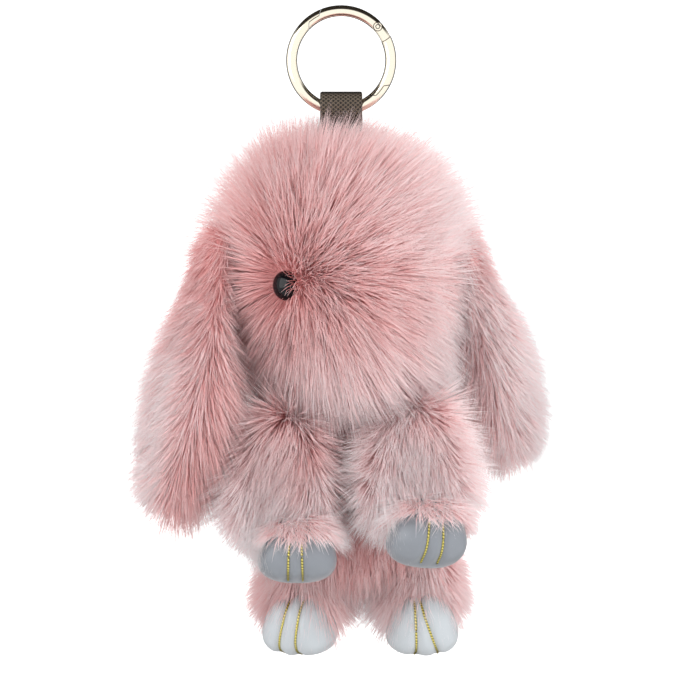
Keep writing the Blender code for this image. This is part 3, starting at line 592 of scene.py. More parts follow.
def pile_tree():
    """Strands on a surface: points with a comb, gathered in tufts, each drawn out to a tapering hair."""
    tree = bpy.data.node_groups.new("Fur pile", "GeometryNodeTree")

    def socket(name, kind, in_out="INPUT"):
        tree.interface.new_socket(name, in_out=in_out, socket_type=f"NodeSocket{kind}")

    socket("Geometry", "Geometry", "OUTPUT")
    socket("Geometry", "Geometry")
    for name in ("Density", "Tuft Density") + PILE_SHARES:
        socket(name, "Float")
    socket("Seed", "Int")
    socket("Material", "Material")
    given = tree.nodes.new("NodeGroupInput").outputs

    def geometry(kind, inputs=None, **settings):
        return add_node(tree, f"GeometryNode{kind}", inputs, **settings).outputs

    def named(name, kind="FLOAT"):
        return geometry("InputNamedAttribute", {"Name": name}, data_type=kind)[0]

    def arrow(name):
        return named(name, "FLOAT_VECTOR")

    def kept(points, name, kind, value, domain="POINT"):
        inputs = {"Geometry": points, "Name": name, "Value": value}
        return geometry("StoreNamedAttribute", inputs, data_type=kind, domain=domain)["Geometry"]

    def chance(draw, low, high, of="pile_strand"):
        """A random number, or a random vector, for each strand or for each tuft."""
        kind, first, output = ("FLOAT_VECTOR", 0, 0) if isinstance(low, tuple) else ("FLOAT", 2, 1)
        seed = maths(tree, "ADD", given["Seed"], DRAWS[draw])
        inputs = {first: low, first + 1: high, "ID": named(of, "INT"), "Seed": seed}
        return add_node(tree, "FunctionNodeRandomValue", inputs, data_type=kind).outputs[output]

    def toss(draw, of="pile_strand"):
        return chance(draw, (-1, -1, -1), (1, 1, 1), of)

    def times(a, b):
        return maths(tree, "MULTIPLY", a, b)

    def plus(a, b):
        return vectors(tree, "ADD", a, b)

    def sown(density, seed=0):
        inputs = {"Mesh": given["Geometry"], "Density": density, "Seed": seed}
        return geometry("DistributePointsOnFaces", inputs)

    roots = sown(times(given["Density"], named("pile_cover")), given["Seed"])
    guides = sown(given["Tuft Density"])["Points"]
    place = geometry("InputPosition")[0]
    index = geometry("InputIndex")[0]
    nearest = geometry("SampleNearest", {"Geometry": guides, "Sample Position": place})[0]
    guide = geometry("SampleIndex", {"Geometry": guides, "Value": place, "Index": nearest},
                     data_type="FLOAT_VECTOR")[0]
    points = kept(roots["Points"], "pile_normal", "FLOAT_VECTOR", roots["Normal"])
    points = kept(points, "pile_tuft", "FLOAT_VECTOR", vectors(tree, "SUBTRACT", guide, place))
    points = kept(points, "pile_strand", "INT", index)
    points = kept(points, "pile_group", "INT", nearest)
    single = scaled(tree, toss("scatter"), given["Scatter"])
    together = scaled(tree, toss("tuft_stray", "pile_group"), given["Tuft Stray"])
    points = kept(points, "pile_toss", "FLOAT_VECTOR", plus(single, together))
    points = kept(points, "pile_reach", "FLOAT", chance("reach", *STRAND_REACH))
    shade = maths(tree, "MULTIPLY_ADD", chance("tuft_tone", -1.0, 1.0, "pile_group"), given["Tuft Tone"],
                  named("pile_tone"))
    shade = maths(tree, "ADD", shade, chance("tone", -STRAND_TONE, STRAND_TONE))
    points = kept(points, "pile_shade", "FLOAT", add_node(tree, "ShaderNodeClamp", {0: shade}).outputs[0])

    drawn = geometry("DuplicateElements", {"Geometry": points, "Amount": STRAND_POINTS}, domain="POINT")
    step = maths(tree, "DIVIDE", drawn["Duplicate Index"], STRAND_POINTS - 1.0)
    points = kept(drawn["Geometry"], "pile_along", "FLOAT", step)

    along = named("pile_along")
    curve = times(along, along)
    lean = named("pile_lean")
    normal = arrow("pile_normal")
    way = plus(scaled(tree, normal, maths(tree, "COSINE", lean)),
               scaled(tree, arrow("pile_comb"), maths(tree, "SINE", lean)))
    way = vectors(tree, "NORMALIZE", plus(way, arrow("pile_toss")))
    reach = times(named("pile_length"), named("pile_reach"))
    straight = scaled(tree, way, times(reach, along))
    turned = plus(arrow("pile_bend"), scaled(tree, toss("curl"), given["Curl"]))
    droop = scaled(tree, turned, times(reach, curve))
    gather = scaled(tree, arrow("pile_tuft"), times(given["Tuft Pull"], curve))
    under = scaled(tree, normal, times(given["Sink"], -1.0))
    offset = plus(plus(straight, droop), plus(gather, under))
    points = geometry("SetPosition", {"Geometry": points, "Offset": offset})[0]
    strand = named("pile_strand", "INT")
    lines = geometry("PointsToCurves", {"Points": points, "Curve Group ID": strand, "Weight": along})[0]

    taper = maths(tree, "MULTIPLY_ADD", times(curve, along), STRAND_TIP - 1.0, 1.0)
    half = times(times(given["Strand Width"], 0.5), taper)
    ring = geometry("CurvePrimitiveCircle", {"Resolution": STRAND_SIDES, "Radius": 1.0})[0]
    ring = kept(ring, "pile_side", "FLOAT", maths(tree, "DIVIDE", index, float(STRAND_SIDES)))
    inputs = {"Curve": lines, "Profile Curve": ring, "Scale": half, "Fill Caps": True}
    mesh = geometry("CurveToMesh", inputs)[0]
    mesh = geometry("MergeByDistance", {"Geometry": mesh, "Distance": TIP_MERGE})[0]
    # U is the strand's tone, with a narrow band of the map's width for its sides
    tone = maths(tree, "MULTIPLY_ADD", named("pile_side"), 0.04, times(named("pile_shade"), 0.96))
    spot = add_node(tree, "ShaderNodeCombineXYZ", {"X": tone, "Y": along}).outputs[0]
    mesh = kept(mesh, "OFBake", "FLOAT2", spot, "CORNER")
    mesh = geometry("SetShadeSmooth", {"Geometry": mesh})[0]
    mesh = geometry("RemoveAttribute", {"Geometry": mesh, "Name": "pile_*"}, pattern_mode="WILDCARD")[0]
    mesh = geometry("RealizeInstances", {"Geometry": mesh})[0]
    mesh = geometry("SetMaterial", {"Geometry": mesh, "Material": given["Material"]})[0]
    tree.links.new(mesh, tree.nodes.new("NodeGroupOutput").inputs[0])
    return tree


def sewn_skin(node, inset):
    """The cloth under the pile: the node's outer form, smoothed and drawn in by the pile's depth."""
    bm = copied(node)
    hull = bmesh.ops.convex_hull(bm, input=bm.verts)
    spare = hull["geom_interior"] + hull["geom_unused"]
    loose = {item for item in spare if isinstance(item, bmesh.types.BMVert)}
    bmesh.ops.delete(bm, geom=[vert for vert in loose if vert.is_valid], context="VERTS")
    hull_faces = {face for face in hull["geom"] if isinstance(face, bmesh.types.BMFace)}
    bmesh.ops.delete(bm, geom=[face for face in bm.faces if face not in hull_faces], context="FACES_ONLY")
    obj = add_object("skin_form", mesh_from(bm, "skin_form"))
    remesh = obj.modifiers.new("even", "REMESH")
    remesh.mode = "VOXEL"
    remesh.voxel_size = BACKING_VOXEL
    soften = obj.modifiers.new("soften", "SMOOTH")
    soften.factor = 0.5
    soften.iterations = BACKING_PASSES
    mesh = finished(obj)
    places = places_of(mesh)
    normals = normals_of(mesh)
    depth = inset(places, normals) if callable(inset) else np.full(len(places), inset)
    move(mesh, places - normals * depth[:, None])
    mesh.shade_smooth()
    return mesh


def comb_out(mesh, comb, lean, reach, tone, cover, bend):
    """Keeps how the pile lies on the skin's own points."""
    store(mesh, "pile_comb", "FLOAT_VECTOR", comb)
    store(mesh, "pile_bend", "FLOAT_VECTOR", bend)
    numbers = {"lean": np.radians(lean), "length": reach, "tone": tone, "cover": cover}
    for name, values in numbers.items():
        store(mesh, f"pile_{name}", "FLOAT", np.broadcast_to(values, (len(mesh.vertices),)))


def grow(mesh, name, kind):
    """Grows a kind's strands on a combed skin, as separate objects of an even size."""
    pile = bpy.context.scene.keychain_pile
    tree = bpy.data.node_groups.get("Fur pile") or pile_tree()
    strands, pieces = STRANDS[kind]
    cover = np.empty(len(mesh.vertices), np.float32)
    mesh.attributes["pile_cover"].data.foreach_get("value", cover)
    area = sum(face.area * float(cover[list(face.vertices)].mean()) for face in mesh.polygons)
    values = {title: getattr(pile, title.lower().replace(" ", "_")) for title in PILE_SHARES}
    values["Density"] = strands / pieces / area
    values["Tuft Density"] = 1.0 / pile.tuft_spacing ** 2
    values["Material"] = bpy.data.materials.get("pink_pile") or fur_material(pile)
    grown = []
    for i in range(pieces):
        title = f"{name}_pile_{i + 1}"
        obj = add_object(title, mesh.copy())
        modifier = obj.modifiers.new("pile", "NODES")
        modifier.node_group = tree
        values["Seed"] = pile.seed + i
        for socket in tree.interface.items_tree:
            if socket.in_out == "INPUT" and socket.name in values:
                modifier[socket.identifier] = values[socket.name]
        grown.append(add_object(title, finished(obj)))
    return grown


def kind_of(node):
    return node.split("_")[0]


def dress(node, body, mesh):
    """Rides a combed skin and its pile on a body, in place of the node's plain solid."""
    cloth = bpy.data.materials.get("pile_backing") or cloth_material(bpy.context.scene.keychain_pile)
    grown = grow(mesh, node, kind_of(node))
    for name in [item.name for item in mesh.attributes if item.name.startswith("pile_")]:
        mesh.attributes.remove(mesh.attributes[name])
    mesh.materials.clear()
    mesh.materials.append(cloth)
    skin = add_object(f"{node}_skin", mesh)
    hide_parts(node)
    for obj in [skin] + grown:
        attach(obj, body)


def eye_places():
    """Each eye's centre line: a point on the head's axis, its outward direction, and its dome's top."""
    found = {}
    for name in SIDES:
        places = places_of(frame["nodes"][f"eye_{name}"].data)
        centre = places.mean(0)
        way = unit(np.array([centre[0], centre[1], 0.0]))
        found[name] = (np.array([0.0, 0.0, centre[2]]), way, float((places @ way).max()))
    return found


class KEYCHAIN_OT_head(Operator):
    """Sews the head's skin and grows its pile, radiating from the eyes"""
    bl_idname = "keychain.head"
    bl_label = "Head fur"

    def execute(self, context):
        low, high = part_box("head_fur")
        middle = np.array((low + high) / 2)
        half = np.array((high - low) / 2)

        def depth(places, normals):
            chin = smooth_step(-normals[:, 2], 0.35, 0.95)
            crown = smooth_step(normals[:, 2], 0.15, 0.85)
            return 0.0078 - 0.0030 * chin - 0.0022 * crown

        mesh = sewn_skin("head_fur", depth)
        places = places_of(mesh)
        normals = normals_of(mesh)
        eyes = eye_places()
        ahead = unit(eyes["left"][1] + eyes["right"][1])
        out = unit((places - middle) / half)
        facing = out @ ahead
        spots = {name: axis + way * top for name, (axis, way, top) in eyes.items()}
        gap = {name: gaps(places, spot) for name, spot in spots.items()}
        nearest = np.minimum(gap["left"], gap["right"])
        roots = [np.array(PIVOTS[f"ear_{name}_lift"]) + np.array([0.0, -0.007, -0.006]) for name in SIDES]
        temple = np.minimum(sum(bell(gaps(places, root), 0.022) for root in roots), 1)

        # The pile runs out from the left eye, and from the right one close to it, and down behind
        behind = smooth_step(-facing, -0.15, 0.65)[:, None]
        flow = unit(places - spots["left"]) * (1 - behind) + DOWN * behind
        right = bell(gap["right"], 0.013)[:, None]
        flow = unit(flow) * (1 - right) + unit(places - spots["right"]) * right
        flow = flow + 0.45 * temple[:, None] * DOWN
        comb = along_surface(flow, normals)

        open_up = smooth_step(nearest, 0.004, 0.017)
        fringe = smooth_step(-out[:, 2], 0.25, 0.70) * smooth_step(facing, -0.2, 0.4)
        crown = smooth_step(out[:, 2], 0.40, 0.95)
        peak = smooth_step(out[:, 2], 0.80, 0.97)
        muzzle = smooth_step(facing, 0.35, 0.85) * smooth_step(-out[:, 2], -0.2, 0.3)
        reach = 0.0075 + 0.0060 * open_up + 0.0035 * fringe + 0.0018 * crown - 0.0030 * peak
        reach = reach + 0.0090 * temple
        inward = {name: (places[:, 0] - spot[0]) * -SIDES[name] for name, spot in spots.items()}
        nose_side = sum(bell(gap[name], 0.009) * smooth_step(inward[name], 0.0, 0.004) for name in SIDES)
        lean = (46 - 20 * open_up + 10 * fringe - 8 * temple) * (1 - 0.75 * nose_side)
        cover = smooth_step(nearest, 0.0038, 0.0052)
        # The tone is partly the pile's own and partly painted light and shade: paler to the right, where
        # the light falls, and deeper close to the eyes and on the underside, where shade falls
        tone = 0.42 + 0.38 * out[:, 0] + 0.26 * temple - 0.10 * (1 - open_up) + 0.42 * fringe
        tone = tone - 0.16 * muzzle - 0.6 * smooth_step(-out[:, 2], 0.75, 0.95)
        bend = 0.36 * comb + (0.04 + 0.14 * fringe + 0.14 * muzzle)[:, None] * DOWN
        comb_out(mesh, comb, lean, reach, tone, cover, bend)
        dress("head_fur", "head", mesh)
        return {"FINISHED"}


def hanging(node, joint, inset, lead):
    """A limb's skin, with its points, its normals, each point's share of its length and its comb.

    The comb runs down the limb and the way that lead points, so that its crown lies on the far side.
    """
    mesh = sewn_skin(node, inset)
    places = places_of(mesh)
    normals = normals_of(mesh)
    start = np.array(PIVOTS[joint])
    solid = places_of(frame["nodes"][node].data)
    end = solid[np.argmax(gaps(solid, start))]
    axis = unit(end - start)
    part = (places - start) @ axis / np.linalg.norm(end - start)
    comb = along_surface(np.broadcast_to(axis + np.array(lead), places.shape), normals)
    return mesh, places, normals, part, comb


class KEYCHAIN_OT_ears(Operator):
    """Sews the lop ears and grows their pile, combed down and outwards"""
    bl_idname = "keychain.ears"
    bl_label = "Ear fur"

    def execute(self, context):
        for name, side in SIDES.items():
            node = f"ear_{name}"
            root = np.array(PIVOTS[f"{node}_lift"])

            def depth(places, normals):
                clear = smooth_step(gaps(places, root), 0.008, 0.022)
                outer = smooth_step(normals[:, 0] * side, 0.0, 0.8)
                inner = smooth_step(-normals[:, 0] * side, 0.0, 0.8)
                under = smooth_step(root[2] - places[:, 2], 0.020, 0.050)
                face = smooth_step(-normals[:, 1], 0.2, 0.8) * (0.0045 - 0.0030 * under)
                return 0.0040 + clear * (face + 0.0022 * outer - 0.0030 * inner * under)

            mesh, _, normals, part, comb = hanging(node, f"{node}_lift", depth, (0.6 * side, 0.0, 0.0))
            inner = smooth_step(-normals[:, 0] * side, 0.0, 0.8) * smooth_step(part, 0.25, 0.6)
            end = smooth_step(part, 0.65, 1.0)
            flat = smooth_step(np.abs(normals[:, 1]), 0.3, 0.9)
            comb = along_surface(comb - inner[:, None] * np.array([0.9 * side, 0.0, 0.0]), normals)
            reach = 0.0050 + 0.0055 * smooth_step(part, 0.0, 0.45) + 0.0060 * inner
            reach = reach - (0.0028 + 0.0012 * side) * end
            lean = 26 + 12 * smooth_step(part, 0.2, 0.9) + 32 * flat
            # The tone is partly the ear's own and partly painted light and shade: paler on the right ear,
            # where the light falls, and deeper on the inner face, in the shade against the head and arm
            tone = 0.50 + 0.62 * smooth_step(part, 0.05, 0.6) + 0.26 * side - 0.75 * inner
            cover = 0.45 + 0.55 * smooth_step(part, 0.05, 0.30)
            comb_out(mesh, comb, lean, reach, tone, cover, 0.40 * comb)
            dress(node, node, mesh)
        return {"FINISHED"}


class KEYCHAIN_OT_body(Operator):
    """Sews the body and grows its pile, combed down"""
    bl_idname = "keychain.body"
    bl_label = "Body fur"

    def execute(self, context):
        mesh = sewn_skin("body_fur", 0.0055)
        normals = normals_of(mesh)
        comb = along_surface(DOWN + 0.2 * normals, normals)
        lean = 30 - 12 * smooth_step(normals[:, 2], 0.3, 0.9)
        under = smooth_step(-normals[:, 2], 0.2, 0.8)
        # The tone is painted shade on the front, deep where the pile lies in the cleft between the arms and
        # legs, and paler underneath and at the back
        tone = 0.05 + 0.35 * under + 0.40 * smooth_step(normals[:, 1], -0.3, 0.5)
        comb_out(mesh, comb, lean, 0.0110 + 0.0045 * under, tone, 1.0, 0.40 * comb)
        dress("body_fur", "body", mesh)
        return {"FINISHED"}


class KEYCHAIN_OT_arms(Operator):
    """Sews the arms and grows their pile down to the paws"""
    bl_idname = "keychain.arms"
    bl_label = "Arm fur"

    def execute(self, context):
        for name, side in SIDES.items():
            node = f"arm_{name}"
            paw = f"paw_{name}"
            lead = (0.25 * side, -1.0, -0.1)
            mesh, places, normals, part, comb = hanging(node, f"{node}_swing", 0.0058, lead)
            low = smooth_step(part, 0.35, 0.70)
            outer = smooth_step(normals[:, 0] * side, 0.2, 0.9)
            front = smooth_step(0.6 * normals[:, 2] - normals[:, 1], 0.2, 0.8)
            away = from_paw(places, paw)
            near = 1 - smooth_step(away, 1.08, 1.90)
            over = near * front
            reach = 0.0128 + 0.0010 * outer - 0.0018 * low * (1 - front) - 0.0040 * near
            lean = 26 + 40 * front - 16 * over + 14 * near * (1 - front)
            # The tone is partly the arm's own and partly painted light and shade: deeper at the top, in the
            # shade under the chin, and paler on the right arm, where the light falls
            tone = 0.66 + 0.60 * smooth_step(part, 0.1, 0.6) + 0.10 * side
            cover = smooth_step(away, 0.92, 1.05) * (1 + 0.8 * over)
            bend = 0.42 * comb + 0.30 * over[:, None] * DOWN
            comb_out(mesh, comb, lean, reach, tone, cover, bend)
            dress(node, node, mesh)
            self.cuff(paw, node, context.scene.keychain_paws)
        return {"FINISHED"}

    def cuff(self, node, body, paw):
        """The fur of the sleeve's edge, which lies on the satin and hangs over the top of the paw."""
        mesh = paw_mesh(node, paw)
        place = np.array(paw_frame(node))
        normals = normals_of(mesh)
        height = (places_of(mesh) - place[:3, 3]) @ place[:3, 2] / PAW_SIZES["paw"][2]
        comb = along_surface(np.broadcast_to(DOWN, normals.shape), normals)
        cover = smooth_step(height, 0.30, 0.50) * smooth_step(-normals @ place[:3, 1], -0.4, 0.1)
        comb_out(mesh, comb, 58, 0.0070, 0.95, cover, 0.30 * comb)
        for obj in grow(mesh, f"{body}_cuff", "cuff"):
            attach(obj, body)


class KEYCHAIN_OT_legs(Operator):
    """Sews the legs and grows their pile down to the feet"""
    bl_idname = "keychain.legs"
    bl_label = "Leg fur"

    def execute(self, context):
        for name, side in SIDES.items():
            node = f"leg_{name}"
            mesh, places, normals, _, comb = hanging(node, f"{node}_swing", 0.0050, (0.0, -0.5, 0.0))
            inner = smooth_step(-normals[:, 0] * side, 0.1, 0.8)
            front = smooth_step(-normals[:, 1], 0.2, 0.8)
            reach = 0.0100 + 0.0025 * inner + 0.0020 * front
            lean = 28 + 22 * front + 12 * inner
            # Painted light: the right leg's pile is paler, where the light falls
            tone = 0.55 + 0.12 * side
            cover = smooth_step(from_paw(places, f"foot_{name}"), 0.95, 1.10)
            comb_out(mesh, comb, lean, reach, tone, cover, 0.40 * comb)
            dress(node, node, mesh)
        return {"FINISHED"}


# Paws, feet and eyes

# Half-widths, and places out from the limb's joint
PAW_SIZES = {"paw": (0.0103, 0.0095, 0.0093), "foot": (0.0096, 0.0110, 0.0090)}
PAW_PLACES = {"paw": (0.0035, -0.0030, -0.0325), "foot": (0.0, -0.0050, -0.0170)}
# Degrees of tilt with the limb and of turn about the vertical
PAW_TILTS = {"paw_left": 14.0, "paw_right": 24.0, "foot_left": 0.0, "foot_right": 0.0}
PAW_TURNS = {"paw_left": 0.0, "paw_right": 14.0, "foot_left": -17.0, "foot_right": 4.0}
PAW_LIMBS = {"paw": "arm", "foot": "leg"}
# Rows across a paw, points round each, and the degrees from its middle to its last row
PAW_ROWS = 96
PAW_SIDES = 72
PAW_END = 88
# Each toe line's place across the paw, at its top and its bottom end
TOE_LINES = {
    "paw_left": ((-0.0021, -0.0020), (0.0013, 0.0013)),
    "paw_right": ((-0.0016, -0.0014), (0.0022, 0.0024)),
    "foot_left": ((-0.0004, -0.0036), (0.0040, 0.0006)),
    "foot_right": ((-0.0034, -0.0017), (-0.0020, 0.0036)),
}
# Degrees round the paw, from the front: where a toe line's thread starts, and how far it runs down
THREAD_START = 58
THREAD_SWEEP = 146
THREAD_STEPS = 40
THREAD_SIDES = 8
THREAD_PROUD = 0.00008
# Points round an eye, rows up its dome, the degrees to its last row, and its shank
EYE_SIDES = 48
EYE_STEPS = 20
EYE_END = 86
SHANK_SHARE = 0.30
SHANK_LENGTH = 0.0055


def paw_frame(node):
    """The paw's place: out along its limb from the joint, tilted with the limb and turned outwards."""
    kind, name = node.split("_")
    joint = Vector(PIVOTS[f"{PAW_LIMBS[kind]}_{name}_swing"])
    tilt = Matrix.Rotation(math.radians(-PAW_TILTS[node]), 4, "X")
    turn = Matrix.Rotation(math.radians(PAW_TURNS[node]), 4, "Z")
    return Matrix.Translation(joint) @ tilt @ Matrix.Translation(PAW_PLACES[kind]) @ turn


def from_paw(places, node):
    """How far points lie from the paw's middle, where 1 is on its surface."""
    inverse = np.array(paw_frame(node).inverted())
    local = places @ inverse[:3, :3].T + inverse[:3, 3]
    return np.linalg.norm(local / np.array(PAW_SIZES[kind_of(node)]), axis=1)


def across_paw(line, turn):
    """Where a toe line lies across the paw, from its top to its bottom end."""
    top, bottom = line
    return top + (bottom - top) * (1 - math.sin(turn)) / 2


def paw_point(node, paw, x, turn, proud=0.0):
    """A point of a paw: x across it, and turn round it from the front, pinched along the toe lines."""
    width, depth, height = PAW_SIZES[kind_of(node)]
    power = paw.fullness
    girth = max(0.0, 1 - abs(x / width) ** power) ** (1 / power)
    off = min(abs(x - across_paw(line, turn)) for line in TOE_LINES[node]) / paw.line_width
    pinch = paw.line_depth * math.exp(-off * off) * smooth_step(math.cos(turn), -0.2, 0.3)
    square = (abs(math.cos(turn)) ** power + abs(math.sin(turn)) ** power) ** (-1 / power)
    y = -(depth * girth * square + proud - pinch) * math.cos(turn)
    z = (height * girth * square + proud - pinch) * math.sin(turn)
    return paw_frame(node) @ Vector((x * (1 - paw.fan * z / height), y, z))


def paw_mesh(node, paw):
    """A stuffed paw, whose rows run round it from one side to the other."""
    width = PAW_SIZES[kind_of(node)][0]
    rows = []
    for i in range(PAW_ROWS + 1):
        x = width * math.sin(math.radians(-PAW_END + 2 * PAW_END * i / PAW_ROWS))
        rows.append([paw_point(node, paw, x, math.tau * k / PAW_SIDES) for k in range(PAW_SIDES)])
    return mesh_from(lofted(rows), f"{node}_satin")


def build_paw(node, body, paw, satin, gold):
    obj = add_object(f"{node}_satin", paw_mesh(node, paw))
    obj.data.materials.append(satin)
    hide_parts(node)
    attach(obj, body)
    turns = [math.radians(THREAD_START - THREAD_SWEEP * i / THREAD_STEPS) for i in range(THREAD_STEPS + 1)]
    for name, line in zip(SIDES, TOE_LINES[node]):
        path = [paw_point(node, paw, across_paw(line, turn), turn, THREAD_PROUD) for turn in turns]
        thread = thread_tube(path, paw.thread_radius, f"{node}_toe_{name}")
        thread.data.materials.append(gold)
        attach(thread, body)


def thread_tube(path, radius, name):
    """A round thread along a path, with a map whose V counts its length in diameters."""
    rows = []
    run = [0.0]
    for i, point in enumerate(path):
        before, after = beside(path, i)
        across = (after - before).to_track_quat("Z", "Y").to_matrix()
        rows.append([point + across @ spot for spot in circle(radius, THREAD_SIDES)])
        if i:
            run.append(run[-1] + (point - before).length / radius / 2)
    mesh = mesh_from(lofted(rows), name)
    map_rows(mesh, "thread", [k / THREAD_SIDES for k in range(THREAD_SIDES)], run)
    return add_object(name, mesh)


class KEYCHAIN_OT_paws(Operator):
    """Stuffs the satin paws and feet and sews their toe lines"""
    bl_idname = "keychain.paws"
    bl_label = "Paws and feet"

    def execute(self, context):
        paw = context.scene.keychain_paws
        # One cloth in two tones: the paws' is darkened as painted shade, the feet's is the lit copy
        satin = satin_material("paw_satin_cloth", paw.satin)
        pale = satin_material("foot_satin_cloth", paw.lit_satin)
        gold = thread_material(paw)
        for name in SIDES:
            build_paw(f"paw_{name}", f"arm_{name}", paw, satin, gold)
            build_paw(f"foot_{name}", f"leg_{name}", paw, pale, gold)
        return {"FINISHED"}


class KEYCHAIN_OT_eyes(Operator):
    """Turns the domed safety eyes"""
    bl_idname = "keychain.eyes"
    bl_label = "Eyes"

    def execute(self, context):
        eye = context.scene.keychain_eyes
        gloss = eye_material(eye)
        for name, (axis, way, top) in eye_places().items():
            low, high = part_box(f"eye_{name}")
            radius = (high.z - low.z) / 2
            shank = SHANK_SHARE * radius
            base = top - eye.dome_height - eye.rim
            profile = [(shank, base - SHANK_LENGTH), (shank, base), (radius, base)]
            profile += [(radius * math.cos(a), top - eye.dome_height * (1 - math.sin(a)))
                        for a in np.linspace(0, math.radians(EYE_END), EYE_STEPS)]
            turned = Vector(way).to_track_quat("Z", "Y").to_matrix()
            rows = [[Vector(axis) + turned @ spot for spot in circle(reach, EYE_SIDES, height)]
                    for reach, height in profile]
            mesh = mesh_from(lofted(rows), f"eye_{name}_dome")
            mesh.set_sharp_from_angle(angle=math.radians(50))
            mesh.materials.append(gloss)
            obj = add_object(f"eye_{name}_dome", mesh)
            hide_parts(f"eye_{name}")
            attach(obj, "head")
        return {"FINISHED"}


# Ring and strap

# How near a corner of the ring lies to the round wire, and how squarely its face looks out from it
WIRE_NEAR = 0.00012
WIRE_FACING = 0.85

# Points along the strap's plies, necks and loop, and steps round each edge of its section
PLY_POINTS = 12
NECK_POINTS = 10
LOOP_POINTS = 28
EDGE_STEPS = 4


def from_wire(places, hardware):
    """The nearest points of the ring wire's middle line, and the unit directions out from it."""
    centre = np.array([0.0, 0.0, -hardware.bore_radius])
    local = places - centre
    mean = hardware.bore_radius + hardware.wire_radius
    middle = unit(local * np.array([1.0, 0.0, 1.0])) * mean
    return middle + centre, unit(local - middle)


def polished(node, hardware):
    """A copy of a ring piece, divided finer and rounded and shaded as the true round wire it stands for."""
    bm = copied(node)
    bmesh.ops.triangulate(bm, faces=bm.faces)
    for _ in range(2):
        bmesh.ops.subdivide_edges(bm, edges=bm.edges, cuts=1, use_grid_fill=True)
    mesh = mesh_from(bm, f"{node}_polished")
    places = places_of(mesh)
    middle, around = from_wire(places, hardware)
    shy = hardware.wire_radius - gaps(places, middle)
    faces = [np.array(face.normal) for face in mesh.polygons]
    on_wire = np.zeros(len(places), bool)
    for face, square in zip(mesh.polygons, faces):
        for vertex in face.vertices:
            if shy[vertex] < WIRE_NEAR and around[vertex] @ square > WIRE_FACING:
                on_wire[vertex] = True
    places[on_wire] = (middle + around * hardware.wire_radius)[on_wire]
    move(mesh, places)
    normals = np.zeros((len(mesh.loops), 3))
    for face, square in zip(mesh.polygons, faces):
        for loop in face.loop_indices:
            vertex = mesh.loops[loop].vertex_index
            is_round = on_wire[vertex] and around[vertex] @ square > WIRE_FACING
            normals[loop] = around[vertex] if is_round else square
    mesh.normals_split_custom_set([tuple(normal) for normal in normals])
    return add_object(f"{node}_polished", mesh)


class KEYCHAIN_OT_ring(Operator):
    """Polishes the ring, its gate and the gate's pin"""
    bl_idname = "keychain.ring"
    bl_label = "Gate ring"

    def execute(self, context):
        hardware = context.scene.keychain_hardware
        gold = plating_material(hardware)
        for node, body in (("ring_body", "ring"), ("ring_gate", "gate"), ("gate_pin", "ring")):
            obj = polished(node, hardware)
            obj.data.materials.clear()
            obj.data.materials.append(gold)
            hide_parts(node)
            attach(obj, body)
        return {"FINISHED"}


def strap_path(strap, loop):
    """The strap's middle line in (y, z) about the ring's axis: up one ply, round it, down the other."""
    offset = (strap.thickness + strap.ply_gap) / 2
    neck = strap.neck_radius
    fillet_y = offset + neck
    fillet_z = -math.sqrt((loop + neck) ** 2 - fillet_y ** 2)
    meet = math.atan2(fillet_z, fillet_y)
    half = [(offset, z) for z in np.linspace(-strap.tail, fillet_z, PLY_POINTS)[:-1]]
    for a in np.linspace(math.pi, math.pi + meet, NECK_POINTS):
        half.append((fillet_y + neck * math.cos(a), fillet_z + neck * math.sin(a)))
    for a in np.linspace(meet, math.pi / 2, LOOP_POINTS)[1:]:
        half.append((loop * math.cos(a), loop * math.sin(a)))
    return half + [(-y, z) for y, z in reversed(half[:-1])]


def strap_section(strap):
    """The strap's cross-section in (x, thickness): a flat bar with rounded edges."""
    edge = strap.edge_radius
    half_width = strap.width / 2 - edge
    half_thick = strap.thickness / 2 - edge
    section = []
    for sx, sy, first in ((1, 1, 0), (-1, 1, 90), (-1, -1, 180), (1, -1, 270)):
        for k in range(EDGE_STEPS + 1):
            a = math.radians(first + 90 * k / EDGE_STEPS)
            section.append((sx * half_width + edge * math.cos(a), sy * half_thick + edge * math.sin(a)))
    return section


class KEYCHAIN_OT_strap(Operator):
    """Folds the leather strap round the ring"""
    bl_idname = "keychain.strap"
    bl_label = "Strap"

    def execute(self, context):
        strap = context.scene.keychain_strap
        axis_z = PIVOTS["strap_swing"][2]
        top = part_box("strap")[1].z
        path = strap_path(strap, top - axis_z - strap.thickness / 2)
        section = strap_section(strap)
        rows = []
        run = [0.0]
        for i, (y, z) in enumerate(path):
            before, after = beside(path, i)
            way = Vector((0, after[0] - before[0], after[1] - before[1])).normalized()
            side = Vector((0, -way.z, way.y))
            centre = Vector((0, y, axis_z + z))
            rows.append([centre + Vector((cx, 0, 0)) + side * cy for cx, cy in section])
            if i:
                run.append(run[-1] + math.dist(path[i], before))
        mesh = mesh_from(lofted(rows), "strap_leather")
        mesh.set_sharp_from_angle(angle=math.radians(60))
        map_rows(mesh, "grain", [cx + cy for cx, cy in section], run)
        mesh.materials.append(leather_material(strap))
        obj = add_object("strap_leather", mesh)
        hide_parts("strap")
        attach(obj, "head")
        return {"FINISHED"}


